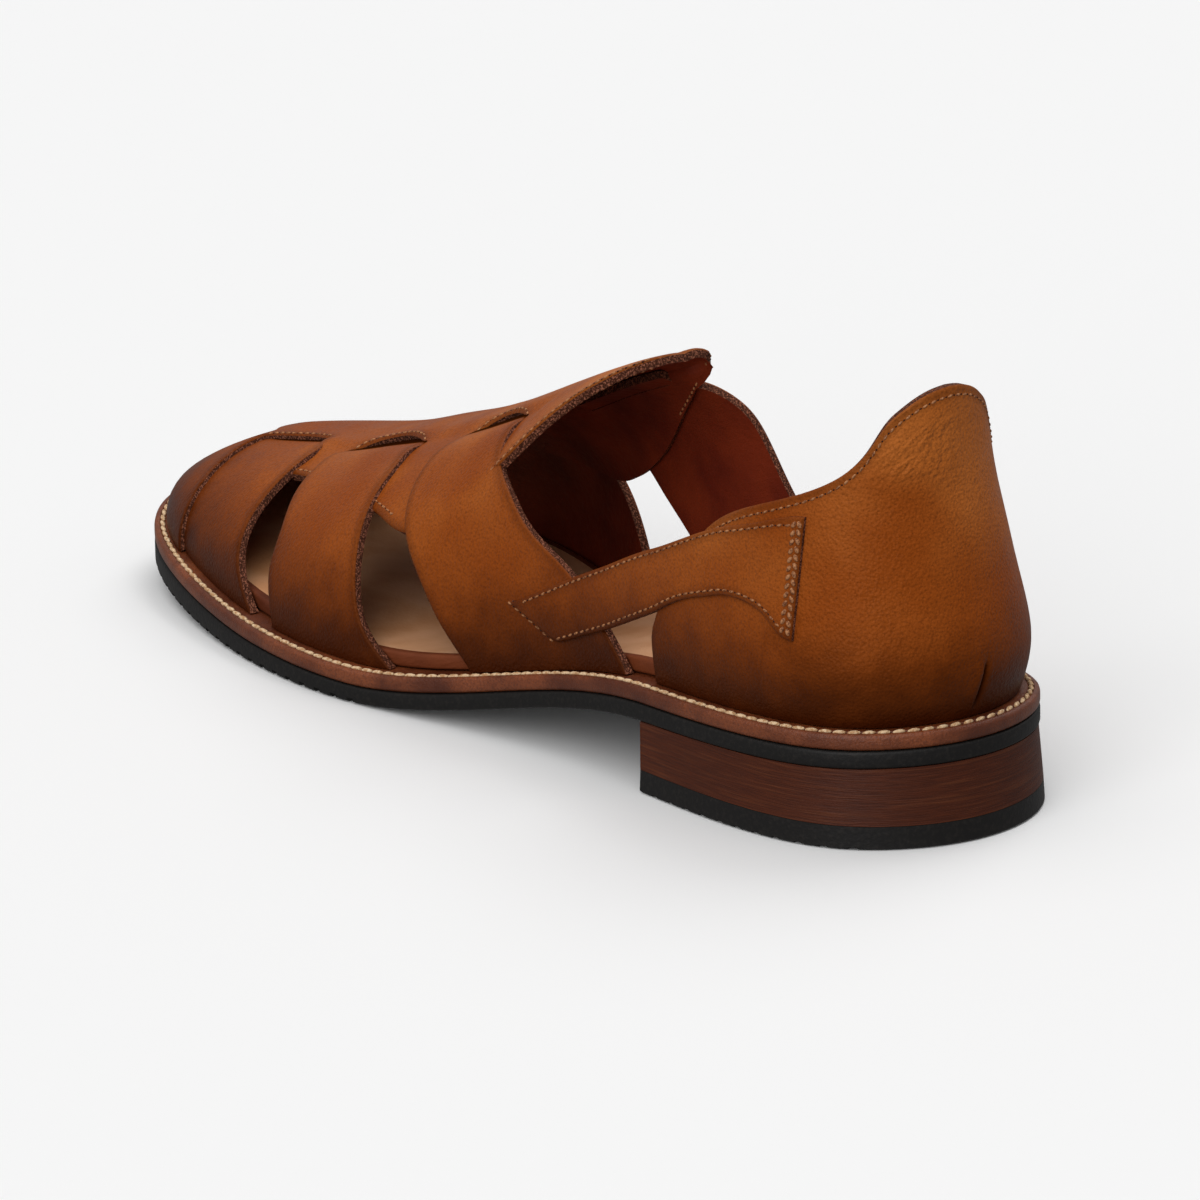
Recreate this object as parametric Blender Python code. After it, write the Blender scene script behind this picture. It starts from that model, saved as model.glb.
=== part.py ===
"""Fisherman sandal, left shoe: a woven strap upper with a one-piece heel counter,
on a welted leather midsole, a rubber outsole and a stacked leather heel.

X runs from the heel to the toe, Y towards the outer side of the foot, Z up.
The origin lies on the ground below the middle of the shoe."""
import bmesh
import bpy
import numpy as np

# Driving dimensions, metres
SOLE_LENGTH = 0.300        # heel back to toe tip of the outsole
BALL_WIDTH = 0.1010        # outsole across the ball of the foot
HEEL_LENGTH = 0.0760       # heel back to the breast of the heel
HEEL_HEIGHT = 0.0193       # ground to the underside of the outsole, at the heel's back
BREAST_HEIGHT = 0.0168     # the same at the heel's breast
TOE_SPRING = 0.0080        # height of the outsole's underside at the toe tip
FLAT_START = 0.1760        # the outsole lies flat on the ground from here
FLAT_END = 0.2120          # and lifts into the toe spring from here
LIFT_THICKNESS = 0.0054    # rubber top lift under the heel
HEEL_FLARE = 0.0010        # how far the heel spreads from its top to the ground
BREAST_LEAN = 0.0014       # how far the heel's breast leans forwards, from its lift to its top
OUTSOLE_THICKNESS = 0.0043
TOE_THICKENING = 0.0014    # extra outsole thickness under the toe
THICKENING_END = 0.2600    # the outsole has its full toe thickness from here
MIDSOLE_THICKNESS = 0.0039
FOOTBED_THICKNESS = 0.0040
WELT_SHOW = 0.0046         # midsole left bare around the upper
WALL = 0.0023              # thickness of the upper's leather
SINK = 0.0009              # how deep two crossing straps are pressed into each other
INSTEP_HEIGHT = 0.0715     # upper's ridge above the midsole, at the tongue's end
COUNTER_HEIGHT = 0.0775    # heel counter's back above the midsole
COUNTER_LENGTH = 0.0915    # counter's reach along the base line, from the heel's back
COUNTER_SWELL = 0.0026     # how far the counter stands out over its base
FAN_START = 0.2120         # the upper's sections start to fan out here, towards the toe
FAN_CENTRE = 0.2600        # ridge point on which the toe's sections close
TOE_DROOP = 0.22           # slope of the ridge where the toe box starts
FAN_POWER = 2.1            # how late the fanned sections leave their own station
SWELL_FADE = (0.13, 0.99)  # shares of the heel's length where the counter's swell fades
SIDE_SWELL = 0.55          # share of that swell left at the sides
TONGUE_STAND = 0.0040      # how far the tongue's edges stand off the instep
LENS_OPENING = 0.0042      # width of the slits that the straps go into
TREAD_PITCH = 0.0058       # spacing of the tread's cross grooves
TREAD_GROOVE = 0.0020      # width of one groove
TREAD_DEPTH = 0.0011
LIFT_TREAD_DEPTH = 0.0005  # the same under the heel
SPRING_POWER = 1.7         # how late the toe spring sets in
EDGE_EASE = 0.0008         # small chamfer on sole edges
GAP = 0.0003               # clearance between pieces that touch
HEEL_BREAST_BOW = 0.0025   # hollow of the heel's breast
BAR_INNER_ROWS = 12        # the inner bar is shorter: its instep strap reaches further back

# Facets
STATIONS = 44              # along the sole
ALONG = 9                  # facets along a strap
ACROSS = 6                 # facets across a strap
RING_POINTS = 2400         # on the outline, before its stations are read
CUT_OVERRUN = 0.0100       # how far a cutter reaches past what it cuts
SLIT_REACH = 2.5           # how far a slit cutter reaches through the leather, in walls
STATION_GAP = 0.0012       # least distance between two stations of a sole


def table(names, *rows):
    """A short table with named columns."""
    return dict(zip(names.split(), np.array(rows, float).T))


# Outsole's half-widths on the outer and inner side: shares of the length and of the ball's width
OUTLINE = table("along outer inner",
                (0.0133, 0.162, 0.168), (0.0533, 0.303, 0.297), (0.127, 0.376, 0.346),
                (0.250, 0.386, 0.317), (0.367, 0.386, 0.282), (0.483, 0.440, 0.317),
                (0.600, 0.508, 0.426), (0.700, 0.501, 0.485), (0.800, 0.446, 0.460),
                (0.883, 0.370, 0.376), (0.947, 0.271, 0.267), (0.987, 0.139, 0.134))

# Ridge of the upper: station, height above the midsole and place across
RIDGE = table("along rise across",
              (0.200, 1.000, -0.020), (0.283, 0.990, -0.030), (0.360, 0.968, -0.040),
              (0.423, 0.938, -0.060), (0.483, 0.895, -0.080), (0.573, 0.775, -0.100),
              (0.643, 0.660, -0.110), (0.693, 0.588, -0.110), (0.743, 0.510, -0.100),
              (0.783, 0.455, -0.090), (0.833, 0.398, -0.070), (0.867, 0.362, -0.050),
              (1.000, 0.240, 0.000))

# How square the upper's sections are, 2 being an ellipse, and how far they swell over the welt
SECTION = table("along square swell",
                (0.200, 2.20, 0.0020), (0.400, 2.15, 0.0015), (0.600, 2.05, 0.0012),
                (0.800, 2.12, 0.0014), (1.000, 2.05, 0.0008))

# Heel counter seen from behind: height and distance out from its base line
COUNTER = table("level out",
                (0.00, 0.00), (0.08, 0.70), (0.16, 1.00), (0.26, 0.65), (0.39, -0.25),
                (0.52, -1.10), (0.65, -1.95), (0.77, -2.50), (1.00, -2.75))

# Counter's top line, from the heel's back forwards: shares of its reach and of its height
TOPLINE = table("reach level",
                (0.000, 0.990), (0.045, 0.986), (0.115, 0.966), (0.180, 0.930), (0.213, 0.905),
                (0.242, 0.872), (0.275, 0.828), (0.340, 0.767), (0.434, 0.713), (0.535, 0.670),
                (0.640, 0.630), (0.740, 0.582), (0.830, 0.500), (0.920, 0.350), (0.975, 0.230),
                (1.000, 0.150))

# Each strap from the sole up to its slit. Arcs are shares of the base line from the toe tip to
# the heel's back, rises go from 0 at the base line to 1 on the ridge, and lifts are layers of
# leather under the strap at its front and rear edge.
STRAP_COLUMNS = "front rear front_rise rear_rise front_lift rear_lift"
STRAPS = {
    ("toe", 1): table(STRAP_COLUMNS,
                      (0.150, 0.280, 0.00, 0.00, 0, 0), (0.141, 0.261, 0.12, 0.12, 0, 0),
                      (0.129, 0.248, 0.26, 0.25, 0, 0), (0.117, 0.239, 0.40, 0.40, 0, 0),
                      (0.102, 0.236, 0.52, 0.54, 0, 0.5), (0.083, 0.232, 0.63, 0.66, 0, 1),
                      (0.064, 0.223, 0.72, 0.76, 0, 1), (0.057, 0.210, 0.79, 0.83, 0, 0.6),
                      (0.055, 0.205, 0.86, 0.89, 0, 0)),
    ("middle", 1): table(STRAP_COLUMNS,
                         (0.313, 0.451, 0.00, 0.00, 0, 0), (0.308, 0.424, 0.10, 0.10, 0, 0),
                         (0.300, 0.409, 0.22, 0.22, 0, 0), (0.293, 0.398, 0.36, 0.36, 0, 0.6),
                         (0.280, 0.387, 0.50, 0.50, 0.7, 1), (0.270, 0.377, 0.61, 0.62, 1, 1),
                         (0.262, 0.366, 0.71, 0.71, 1, 1), (0.262, 0.363, 0.77, 0.77, 0.6, 0.6),
                         (0.265, 0.361, 0.86, 0.86, 0, 0)),
    ("instep", 1): table(STRAP_COLUMNS,
                         (0.527, 0.689, 0.00, 0.00, 0, 0), (0.497, 0.652, 0.12, 0.12, 0, 0),
                         (0.476, 0.616, 0.22, 0.22, 0, 0), (0.456, 0.576, 0.32, 0.32, 0.5, 0.4),
                         (0.439, 0.543, 0.42, 0.44, 1, 1), (0.424, 0.512, 0.54, 0.56, 1, 1),
                         (0.415, 0.494, 0.67, 0.68, 1, 1), (0.418, 0.487, 0.76, 0.76, 0.6, 0.6),
                         (0.424, 0.485, 0.85, 0.85, 0, 0)),
    ("toe", -1): table(STRAP_COLUMNS,
                       (0.140, 0.232, 0.00, 0.00, 0, 0), (0.131, 0.213, 0.12, 0.12, 0, 0),
                       (0.119, 0.201, 0.26, 0.25, 0, 0), (0.108, 0.192, 0.40, 0.40, 0, 0),
                       (0.094, 0.188, 0.52, 0.54, 0, 0.5), (0.076, 0.186, 0.63, 0.66, 0, 1),
                       (0.058, 0.184, 0.72, 0.76, 0, 1), (0.052, 0.180, 0.79, 0.83, 0, 0.6),
                       (0.050, 0.176, 0.86, 0.89, 0, 0)),
    ("middle", -1): table(STRAP_COLUMNS,
                          (0.284, 0.500, 0.00, 0.00, 0, 0), (0.275, 0.480, 0.10, 0.10, 0, 0),
                          (0.263, 0.462, 0.22, 0.22, 0, 0), (0.249, 0.438, 0.34, 0.34, 0, 0.6),
                          (0.240, 0.411, 0.46, 0.48, 0.6, 1), (0.234, 0.392, 0.59, 0.60, 1, 1),
                          (0.232, 0.379, 0.70, 0.70, 1, 1), (0.234, 0.373, 0.77, 0.77, 0.6, 0.6),
                          (0.238, 0.368, 0.86, 0.86, 0, 0)),
    ("instep", -1): table(STRAP_COLUMNS,
                          (0.604, 0.700, 0.00, 0.00, 0, 0), (0.579, 0.692, 0.10, 0.10, 0, 0),
                          (0.549, 0.680, 0.21, 0.21, 0, 0), (0.515, 0.663, 0.32, 0.32, 0.5, 0),
                          (0.488, 0.645, 0.43, 0.45, 1, 0.9), (0.465, 0.630, 0.54, 0.56, 1, 1),
                          (0.452, 0.602, 0.66, 0.67, 1, 1), (0.452, 0.582, 0.76, 0.76, 0.6, 0.6),
                          (0.458, 0.575, 0.85, 0.85, 0, 0)),
}

# Edges of the central band, from the toe to the tongue's end: rise of its edge on each side
BAND_EDGE = table("arc outer inner",
                  (0.150, 0.30, 0.34), (0.185, 0.52, 0.52), (0.245, 0.625, 0.61),
                  (0.270, 0.610, 0.59), (0.330, 0.54, 0.52), (0.400, 0.45, 0.43),
                  (0.445, 0.38, 0.38), (0.490, 0.44, 0.40), (0.525, 0.56, 0.45),
                  (0.546, 0.655, 0.51), (0.565, 0.725, 0.58), (0.585, 0.785, 0.655),
                  (0.600, 0.830, 0.720), (0.609, 0.860, 0.765), (0.616, 0.900, 0.830))

CAP_ARC = 0.147            # the toe cap's rear edge, as a share of the half base line
CAP_FADE = 0.011           # arc over which the band comes down to the last behind the cap
CAP_RAISE = (0.035, 0.055) # arcs between which the cap rises over the toe straps
BY_RIDGE = (0.77, 0.83)    # rises between which the band climbs over the straps' ends
TONGUE_RISE = {1: (0.490, 0.520), -1: (0.600, 0.630)}    # arcs where the tongue is lifted
TONGUE_FREE = {1: (0.500, 0.616), -1: (0.602, 0.616)}    # arcs where it stands off
TONGUE_EDGE = 0.65         # rise of the tongue's edges, where it stands off in full
SIDE_BLEND = (0.62, 0.76)  # arcs between which the side wall turns from vamp to counter
SLIT_ROW = 7               # row of a strap's table that lies at its slit
SLIT_ENDS = (0.10, 0.90)   # a slit's ends, as shares of its strap's width
INNER_NOTCH = 0.93         # the inner notch lies this much nearer to the toe

# Opening of the band over the toe strap: behind the toe cap and below the toe strap's slit
NOTCH = table("arc low high",
              (0.066, 0.740, 0.765), (0.085, 0.660, 0.800), (0.106, 0.570, 0.820),
              (0.128, 0.430, 0.832), (0.141, 0.280, 0.838), (0.148, 0.100, 0.842),
              (0.156, 0.100, 0.846), (0.180, 0.300, 0.850), (0.204, 0.400, 0.845))

# Bar that ties the counter to the instep strap, from its rear end forwards: arc of its lower
# edge, levels of both edges, layers of leather underneath and how far the upper edge is ahead
BAR = table("arc low high lift ahead",
            (0.870, 0.262, 0.622, 1, 0), (0.858, 0.276, 0.618, 1, 0), (0.845, 0.318, 0.606, 1, 0),
            (0.826, 0.346, 0.582, 1, 0), (0.805, 0.350, 0.558, 1, 0), (0.787, 0.333, 0.536, 1, 0),
            (0.757, 0.295, 0.484, 1, 0), (0.730, 0.237, 0.434, 1, 0), (0.700, 0.183, 0.386, 1, 0),
            (0.672, 0.143, 0.340, 1, 0.002), (0.645, 0.116, 0.294, 1, 0.014),
            (0.620, 0.096, 0.232, 1, 0.042), (0.611, 0.100, 0.224, 0, 0.046),
            (0.602, 0.106, 0.217, -1, 0.048))


def spline(xs, ys, at):
    """A natural cubic curve through the points, straight beyond its ends."""
    xs, ys, at = np.asarray(xs), np.asarray(ys), np.asarray(at, float)
    step = np.diff(xs)
    slope = np.diff(ys) / step
    count = len(xs)
    matrix = np.eye(count)
    bend = np.zeros(count)
    for i in range(1, count - 1):
        matrix[i, i - 1:i + 2] = step[i - 1], 2 * (step[i - 1] + step[i]), step[i]
        bend[i] = 6 * (slope[i] - slope[i - 1])
    bend = np.linalg.solve(matrix, bend)
    inside = np.clip(at, xs[0], xs[-1])
    i = np.clip(np.searchsorted(xs, inside) - 1, 0, count - 2)
    left, right, h = inside - xs[i], xs[i + 1] - inside, step[i]
    value = (bend[i] * right ** 3 + bend[i + 1] * left ** 3) / (6 * h)
    value += (ys[i] / h - bend[i] * h / 6) * right + (ys[i + 1] / h - bend[i + 1] * h / 6) * left
    first = slope[0] - step[0] * bend[1] / 6
    last = slope[-1] + step[-1] * bend[-2] / 6
    return value + first * np.minimum(at - xs[0], 0) + last * np.maximum(at - xs[-1], 0)


def read(rows, column, at):
    """Value of a table's column at a place along its first column."""
    return spline(next(iter(rows.values())), rows[column], at)


def smoothstep(x, start, end):
    t = np.clip((x - start) / (end - start), 0, 1)
    return t * t * (3 - 2 * t)


def closed_spline(points, count):
    """A smooth closed curve through the points, as many points on it as asked for."""
    lengths = np.linalg.norm(np.roll(points, -1, 0) - points, axis=1) ** 0.8
    knots = np.concatenate([[0], np.cumsum(lengths)])
    laps = np.concatenate([knots[:-1] - knots[-1], knots[:-1], knots + knots[-1]])
    ring = np.concatenate([points, points, points, points[:1]])
    at = np.linspace(0, knots[-1], count, endpoint=False)
    return np.stack([spline(laps, ring[:, 0], at), spline(laps, ring[:, 1], at)], -1)


def build_outline():
    """Outsole's outline, counter-clockwise from the heel's back round the inner side."""
    along = OUTLINE["along"] * SOLE_LENGTH
    inner = np.stack([along, -OUTLINE["inner"] * BALL_WIDTH], -1)
    outer = np.stack([along, OUTLINE["outer"] * BALL_WIDTH], -1)
    points = np.concatenate([[[0, 0]], inner, [[SOLE_LENGTH, 0]], outer[::-1]])
    return closed_spline(points, RING_POINTS)


def inset(ring, distance):
    """A closed counter-clockwise ring moved inwards."""
    along = np.roll(ring, -1, 0) - np.roll(ring, 1, 0)
    along /= np.linalg.norm(along, axis=1)[:, None]
    inward = np.stack([-along[:, 1], along[:, 0]], -1)
    return ring + inward * distance


OUTLINE_RING = build_outline()
BASE_RING = inset(OUTLINE_RING, WELT_SHOW)
ORIGIN = np.append((OUTLINE_RING.min(0) + OUTLINE_RING.max(0)) / 2, 0)
ORIGIN[0] -= HEEL_FLARE / 2


def start_at_toe(ring):
    """The ring from its toe tip round the outer side, closed, with its running length."""
    ring = np.roll(ring, -int(np.argmax(ring[:, 0])), 0)
    ring = np.concatenate([ring, ring[:1]])
    run = np.concatenate([[0], np.cumsum(np.linalg.norm(np.diff(ring, axis=0), axis=1))])
    return ring, run


BASE_LINE, BASE_RUN = start_at_toe(BASE_RING)
HALF_GIRTH = BASE_RUN[-1] / 2


def base_point(arc):
    """Point of the upper's base line; arcs are 0 at the toe tip, positive on the outer side."""
    run = arc * HALF_GIRTH % BASE_RUN[-1]
    return np.array([np.interp(run, BASE_RUN, BASE_LINE[:, 0]),
                     np.interp(run, BASE_RUN, BASE_LINE[:, 1])])


def base_outward(arc):
    """Level direction straight out from the base line."""
    step = 0.004
    along = base_point(arc + step) - base_point(arc - step)
    along /= np.linalg.norm(along)
    return np.array([along[1], -along[0]])


def tread_height(x):
    """Underside of the outsole over the ground."""
    x = np.asarray(x, float)
    fall = (HEEL_HEIGHT - BREAST_HEIGHT) / HEEL_LENGTH
    heel = HEEL_HEIGHT - fall * x
    reach = FLAT_START - HEEL_LENGTH
    t = np.clip((x - HEEL_LENGTH) / reach, 0, 1)
    waist = BREAST_HEIGHT * (1 - 3 * t ** 2 + 2 * t ** 3) - fall * reach * t * (1 - t) ** 2
    t = np.maximum(x - FLAT_END, 0) / (SOLE_LENGTH - FLAT_END)
    return np.where(x < HEEL_LENGTH, heel, waist) + TOE_SPRING * t ** SPRING_POWER


def outsole_top(x):
    thickening = TOE_THICKENING * smoothstep(x, FLAT_START, THICKENING_END)
    return tread_height(x) + OUTSOLE_THICKNESS + thickening


def seat(x):
    """Top of the midsole, on which the upper stands."""
    return outsole_top(x) + MIDSOLE_THICKNESS


def arc_at(x, side):
    """Arc of the base line at a station on one side."""
    arcs = np.linspace(0.01, 0.99, 400) * side
    stations = np.array([base_point(a)[0] for a in arcs])
    return float(np.interp(-x, -stations, np.abs(arcs)))


FAN_ARC = {side: arc_at(FAN_START, side) for side in (1, -1)}


def ridge_station(arc):
    """Where on the ridge the section that starts at an arc of the base line ends."""
    fan = FAN_ARC[1 if arc >= 0 else -1]
    share = min(abs(arc) / fan, 1)
    if share == 1:
        return base_point(arc)[0]
    return FAN_CENTRE - (FAN_CENTRE - FAN_START) * share ** FAN_POWER


def fan_arc(x, side):
    """Arc of the section that ends on the ridge at a station."""
    if x <= FAN_START:
        return arc_at(x, side)
    return FAN_ARC[side] * max((FAN_CENTRE - x) / (FAN_CENTRE - FAN_START), 0) ** (1 / FAN_POWER)


def vamp(arc, rise):
    """Outer face of the vamp: rise goes from 0 at the base line to 1 on the ridge."""
    foot = base_point(arc)
    x = ridge_station(arc)
    top = np.array([x, read(RIDGE, "across", x / SOLE_LENGTH) * BALL_WIDTH])
    low = float(seat(foot[0]))
    high = float(seat(x)) + float(read(RIDGE, "rise", x / SOLE_LENGTH)) * INSTEP_HEIGHT
    square = float(read(SECTION, "square", foot[0] / SOLE_LENGTH))
    swell = float(read(SECTION, "swell", foot[0] / SOLE_LENGTH))
    angle = rise * np.pi / 2
    inward = 1 - np.cos(angle) ** (2 / square)
    upward = np.sin(angle) ** (2 / square)
    spread = foot - top
    out = spread / max(np.linalg.norm(spread), 1e-6)
    plan = top + spread * (1 - inward) + out * swell * np.sin(np.pi * min(rise * 1.3, 1))
    ahead = max(plan[0] - x, 0)
    return np.array([plan[0], plan[1], low + (high - low) * upward - TOE_DROOP * ahead * upward])


def counter(arc, level):
    """Outer face of the counter at a height above the midsole, as a share of its height."""
    foot = base_point(arc)
    back = 1 - smoothstep(foot[0] / HEEL_LENGTH, *SWELL_FADE)
    fade = SIDE_SWELL + (1 - SIDE_SWELL) * back
    out = float(read(COUNTER, "out", level)) * COUNTER_SWELL * fade
    plan = foot + base_outward(arc) * out
    return np.array([plan[0], plan[1], float(seat(foot[0])) + level * COUNTER_HEIGHT])


def vamp_rise(arc, level):
    """Rise at which the vamp reaches a height given as a share of the counter's."""
    foot = base_point(arc)
    x = ridge_station(arc) / SOLE_LENGTH
    full = float(read(RIDGE, "rise", x)) * INSTEP_HEIGHT
    square = float(read(SECTION, "square", foot[0] / SOLE_LENGTH))
    share = min(level * COUNTER_HEIGHT / full, 1)
    return np.arcsin(share ** (square / 2)) * 2 / np.pi


def side_wall(arc, level):
    """Outer face between counter and vamp, at a height above the midsole."""
    towards_vamp = 1 - smoothstep(abs(arc), *SIDE_BLEND)
    if towards_vamp == 0:
        return counter(arc, level)
    front = vamp(arc, vamp_rise(arc, level))
    return front * towards_vamp + counter(arc, level) * (1 - towards_vamp)


def lifted(surface, a, b, lift):
    """A point of a surface and the same point moved out from it."""
    step = 0.003
    low, high = max(b - step, 0), min(b + step, 1)
    point = surface(a, b)
    normal = np.cross(surface(a + step, b) - surface(a - step, b), surface(a, high) - surface(a, low))
    length = np.linalg.norm(normal)
    normal = normal / length if length > 1e-12 else np.array([0, 0, 1.0])
    return point + normal * lift


def sheet(name, outer, inner, folded=False):
    """A closed leather sheet between two grids of points; a folded one closes on its first row."""
    rows, columns = outer.shape[:2]
    verts = [tuple(p) for p in outer.reshape(-1, 3)] + [tuple(p) for p in inner.reshape(-1, 3)]
    back = rows * columns
    faces = []
    for i in range(rows - 1):
        for j in range(columns - 1):
            a, b = i * columns + j, (i + 1) * columns + j
            faces += [(a, b, b + 1, a + 1), (back + a + 1, back + b + 1, back + b, back + a)]
    rim = [(i * columns, (i + 1) * columns) for i in range(rows - 1)]
    rim = [(b, a) for a, b in rim]
    rim += [((i + 1) * columns - 1, (i + 2) * columns - 1) for i in range(rows - 1)]
    last = (rows - 1) * columns
    rim += [(last + j + 1, last + j) for j in range(columns - 1)]
    if not folded:
        rim += [(j, j + 1) for j in range(columns - 1)]
    faces += [(b, a, back + a, back + b) for a, b in rim]
    return solid(name, verts, faces)


def solid(name, verts, faces, weld=1e-6):
    """A closed mesh object with its faces pointing out."""
    mesh = bpy.data.meshes.new(name)
    mesh.from_pydata([tuple(float(c) for c in v - ORIGIN) for v in np.array(verts)], [], faces)
    work = bmesh.new()
    work.from_mesh(mesh)
    bmesh.ops.remove_doubles(work, verts=work.verts, dist=weld)
    bmesh.ops.dissolve_degenerate(work, edges=work.edges, dist=weld)
    bmesh.ops.recalc_face_normals(work, faces=work.faces)
    work.to_mesh(mesh)
    work.free()
    piece = bpy.data.objects.new(name, mesh)
    bpy.context.collection.objects.link(piece)
    return piece


def boolean(piece, other, operation):
    """Joins another solid to a piece, or cuts it out, and keeps the other as a hidden guide."""
    step = piece.modifiers.new(other.name, "BOOLEAN")
    step.operation = operation
    step.solver = "EXACT"
    step.object = other
    other.hide_render = True
    other.display_type = "WIRE"


def strap_row(rows, at):
    """All columns of a strap's table at a place between its rows."""
    index = np.arange(len(rows["front"]))
    return {name: float(spline(index, column, at)) for name, column in rows.items()}


def layer(count):
    """Height that layers of leather underneath give to a face."""
    return count * (WALL - SINK)


def build_strap(name, side):
    """One strap, from its foot on the midsole up to its end below the band."""
    rows = STRAPS[(name, side)]
    places = np.linspace(0, len(rows["front"]) - 1, ALONG + 2)
    outer = np.zeros((len(places), ACROSS + 1, 3))
    inner = np.zeros_like(outer)
    for i, place in enumerate(places):
        row = strap_row(rows, place)
        for j, share in enumerate(np.linspace(0, 1, ACROSS + 1)):
            arc = side * (row["front"] * (1 - share) + row["rear"] * share)
            rise = row["front_rise"] * (1 - share) + row["rear_rise"] * share
            lift = layer(row["front_lift"] * (1 - share) + row["rear_lift"] * share)
            outer[i, j] = lifted(vamp, arc, rise, lift)
            inner[i, j] = lifted(vamp, arc, rise, lift - WALL)
    outer[0, :, 2] = inner[0, :, 2] = seat(outer[0, :, 0]) + GAP
    return sheet(f"{name}_strap_{'outer' if side > 0 else 'inner'}", outer, inner)


def band_lift(arc, rise):
    """Layers of leather below the band: strap ends by the ridge, and strap fronts at the toe."""
    side = 1 if arc > 0 else -1
    by_ridge = smoothstep(rise, *BY_RIDGE)
    past_cap = smoothstep(abs(arc), CAP_ARC + CAP_FADE / 3, CAP_ARC + CAP_FADE * 4 / 3)
    by_cap = smoothstep(abs(arc), *CAP_RAISE) * (1 - past_cap)
    on_tongue = smoothstep(abs(arc), *TONGUE_RISE[side])
    return max(by_ridge, by_cap, on_tongue)


def band_point(arc, rise, depth):
    """A point of the band, a given depth below its outer face."""
    reach = smoothstep(abs(arc), *TONGUE_FREE[1 if arc > 0 else -1])
    stand = TONGUE_STAND * reach * (1 - rise) / (1 - TONGUE_EDGE)
    return lifted(vamp, arc, rise, layer(band_lift(arc, rise)) + stand - depth)


def build_band():
    """Central band: toe cap, the lobes between the straps and the tongue."""
    start, end = BAND_EDGE["arc"][0], BAND_EDGE["arc"][-1]
    arcs = np.concatenate([np.linspace(0, CAP_ARC, 8), np.linspace(start, end, 24)])
    half = np.linspace(0, 1, 7)
    outer = np.zeros((len(arcs), 2 * len(half) - 1, 3))
    inner = np.zeros_like(outer)
    for i, arc in enumerate(arcs):
        matching = fan_arc(ridge_station(arc), -1) if arc > 0 else 0
        capped = arc <= CAP_ARC
        low = 0 if capped else float(read(BAND_EDGE, "outer", arc))
        far = 0 if capped else float(read(BAND_EDGE, "inner", arc))
        across = [(arc, low + (1 - low) * t) for t in half]
        across += [(-matching, far + (1 - far) * t) for t in half[-2::-1]]
        for j, (at, rise) in enumerate(across):
            outer[i, j] = band_point(at, rise, 0)
            inner[i, j] = band_point(at, rise, WALL)
            if rise == 0:
                outer[i, j, 2] = inner[i, j, 2] = seat(outer[i, j, 0]) + GAP
    return sheet("band", outer, inner, folded=True)


def surface_cutter(name, side, arcs, low, high):
    """A solid through the vamp's wall over an area between two curves of rise."""
    rises = [np.linspace(a, b, 4) for a, b in zip(low, high)]
    above, below = SLIT_REACH * WALL, -SLIT_REACH * WALL
    outer = np.array([[lifted(vamp, side * arc, r, above) for r in row] for arc, row in zip(arcs, rises)])
    inner = np.array([[lifted(vamp, side * arc, r, below) for r in row] for arc, row in zip(arcs, rises)])
    return sheet(name, outer, inner)


def build_slit(name, side):
    """Lens-shaped slit in the band, into which a strap dives."""
    row = {key: column[SLIT_ROW] for key, column in STRAPS[(name, side)].items()}
    share = np.linspace(*SLIT_ENDS, 9)
    arcs = row["front"] * (1 - share) + row["rear"] * share
    low = row["front_rise"] * (1 - share) + row["rear_rise"] * share
    step = 0.05
    rib = np.linalg.norm(vamp(side * arcs[4], low[4] + step) - vamp(side * arcs[4], low[4])) / step
    high = low + LENS_OPENING / rib * np.sin(np.pi * share) ** 0.6
    return surface_cutter(f"{name}_slit_{side}", side, arcs, low, high)


def build_toe_notch(side):
    """Opening of the band over the toe strap: below its slit and behind the toe cap."""
    shift = 1 if side > 0 else INNER_NOTCH
    arcs = NOTCH["arc"] * shift
    return surface_cutter(f"toe_notch_{side}", side, arcs, NOTCH["low"], NOTCH["high"])


def build_counter():
    """One-piece heel counter, from one front edge round the back to the other."""
    reaches = np.concatenate([np.linspace(0, 0.9, 16), [0.955, 0.985, 1.0]])
    reaches = np.concatenate([-reaches[:0:-1], reaches])
    levels = np.linspace(0, 1, 8)
    outer = np.zeros((len(reaches), len(levels), 3))
    inner = np.zeros_like(outer)
    for i, reach in enumerate(reaches):
        arc = np.sign(reach) * (1 - abs(reach) * COUNTER_LENGTH / HALF_GIRTH) if reach else 1.0
        top = float(np.interp(abs(reach), TOPLINE["reach"], TOPLINE["level"]))
        for j, share in enumerate(levels):
            outer[i, j] = lifted(side_wall, arc, share * top, 0)
            inner[i, j] = lifted(side_wall, arc, share * top, -WALL)
        outer[i, 0, 2] = inner[i, 0, 2] = seat(outer[i, 0, 0]) + GAP
    return sheet("counter", outer, inner)


def build_bar(side):
    """Bar from the counter forwards into the instep strap."""
    rows = BAR if side > 0 else {key: column[:BAR_INNER_ROWS] for key, column in BAR.items()}
    places = np.linspace(0, len(rows["arc"]) - 1, 2 * len(rows["arc"]) - 1)
    index = np.arange(len(rows["arc"]))
    outer = np.zeros((len(places), 5, 3))
    inner = np.zeros_like(outer)
    for i, place in enumerate(places):
        row = {key: float(spline(index, column, place)) for key, column in rows.items()}
        arc, low, high, lift = row["arc"], row["low"], row["high"], row["lift"]
        if side < 0:
            lift = lift if place < len(index) - 3 else lift - (place - len(index) + 3)
        for j, share in enumerate(np.linspace(0, 1, 5)):
            level = low * (1 - share) + high * share
            at = side * (arc - row["ahead"] * share)
            outer[i, j] = lifted(side_wall, at, level, layer(lift))
            inner[i, j] = lifted(side_wall, at, level, layer(lift) - WALL)
    return sheet(f"bar_{side}", outer, inner)


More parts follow.
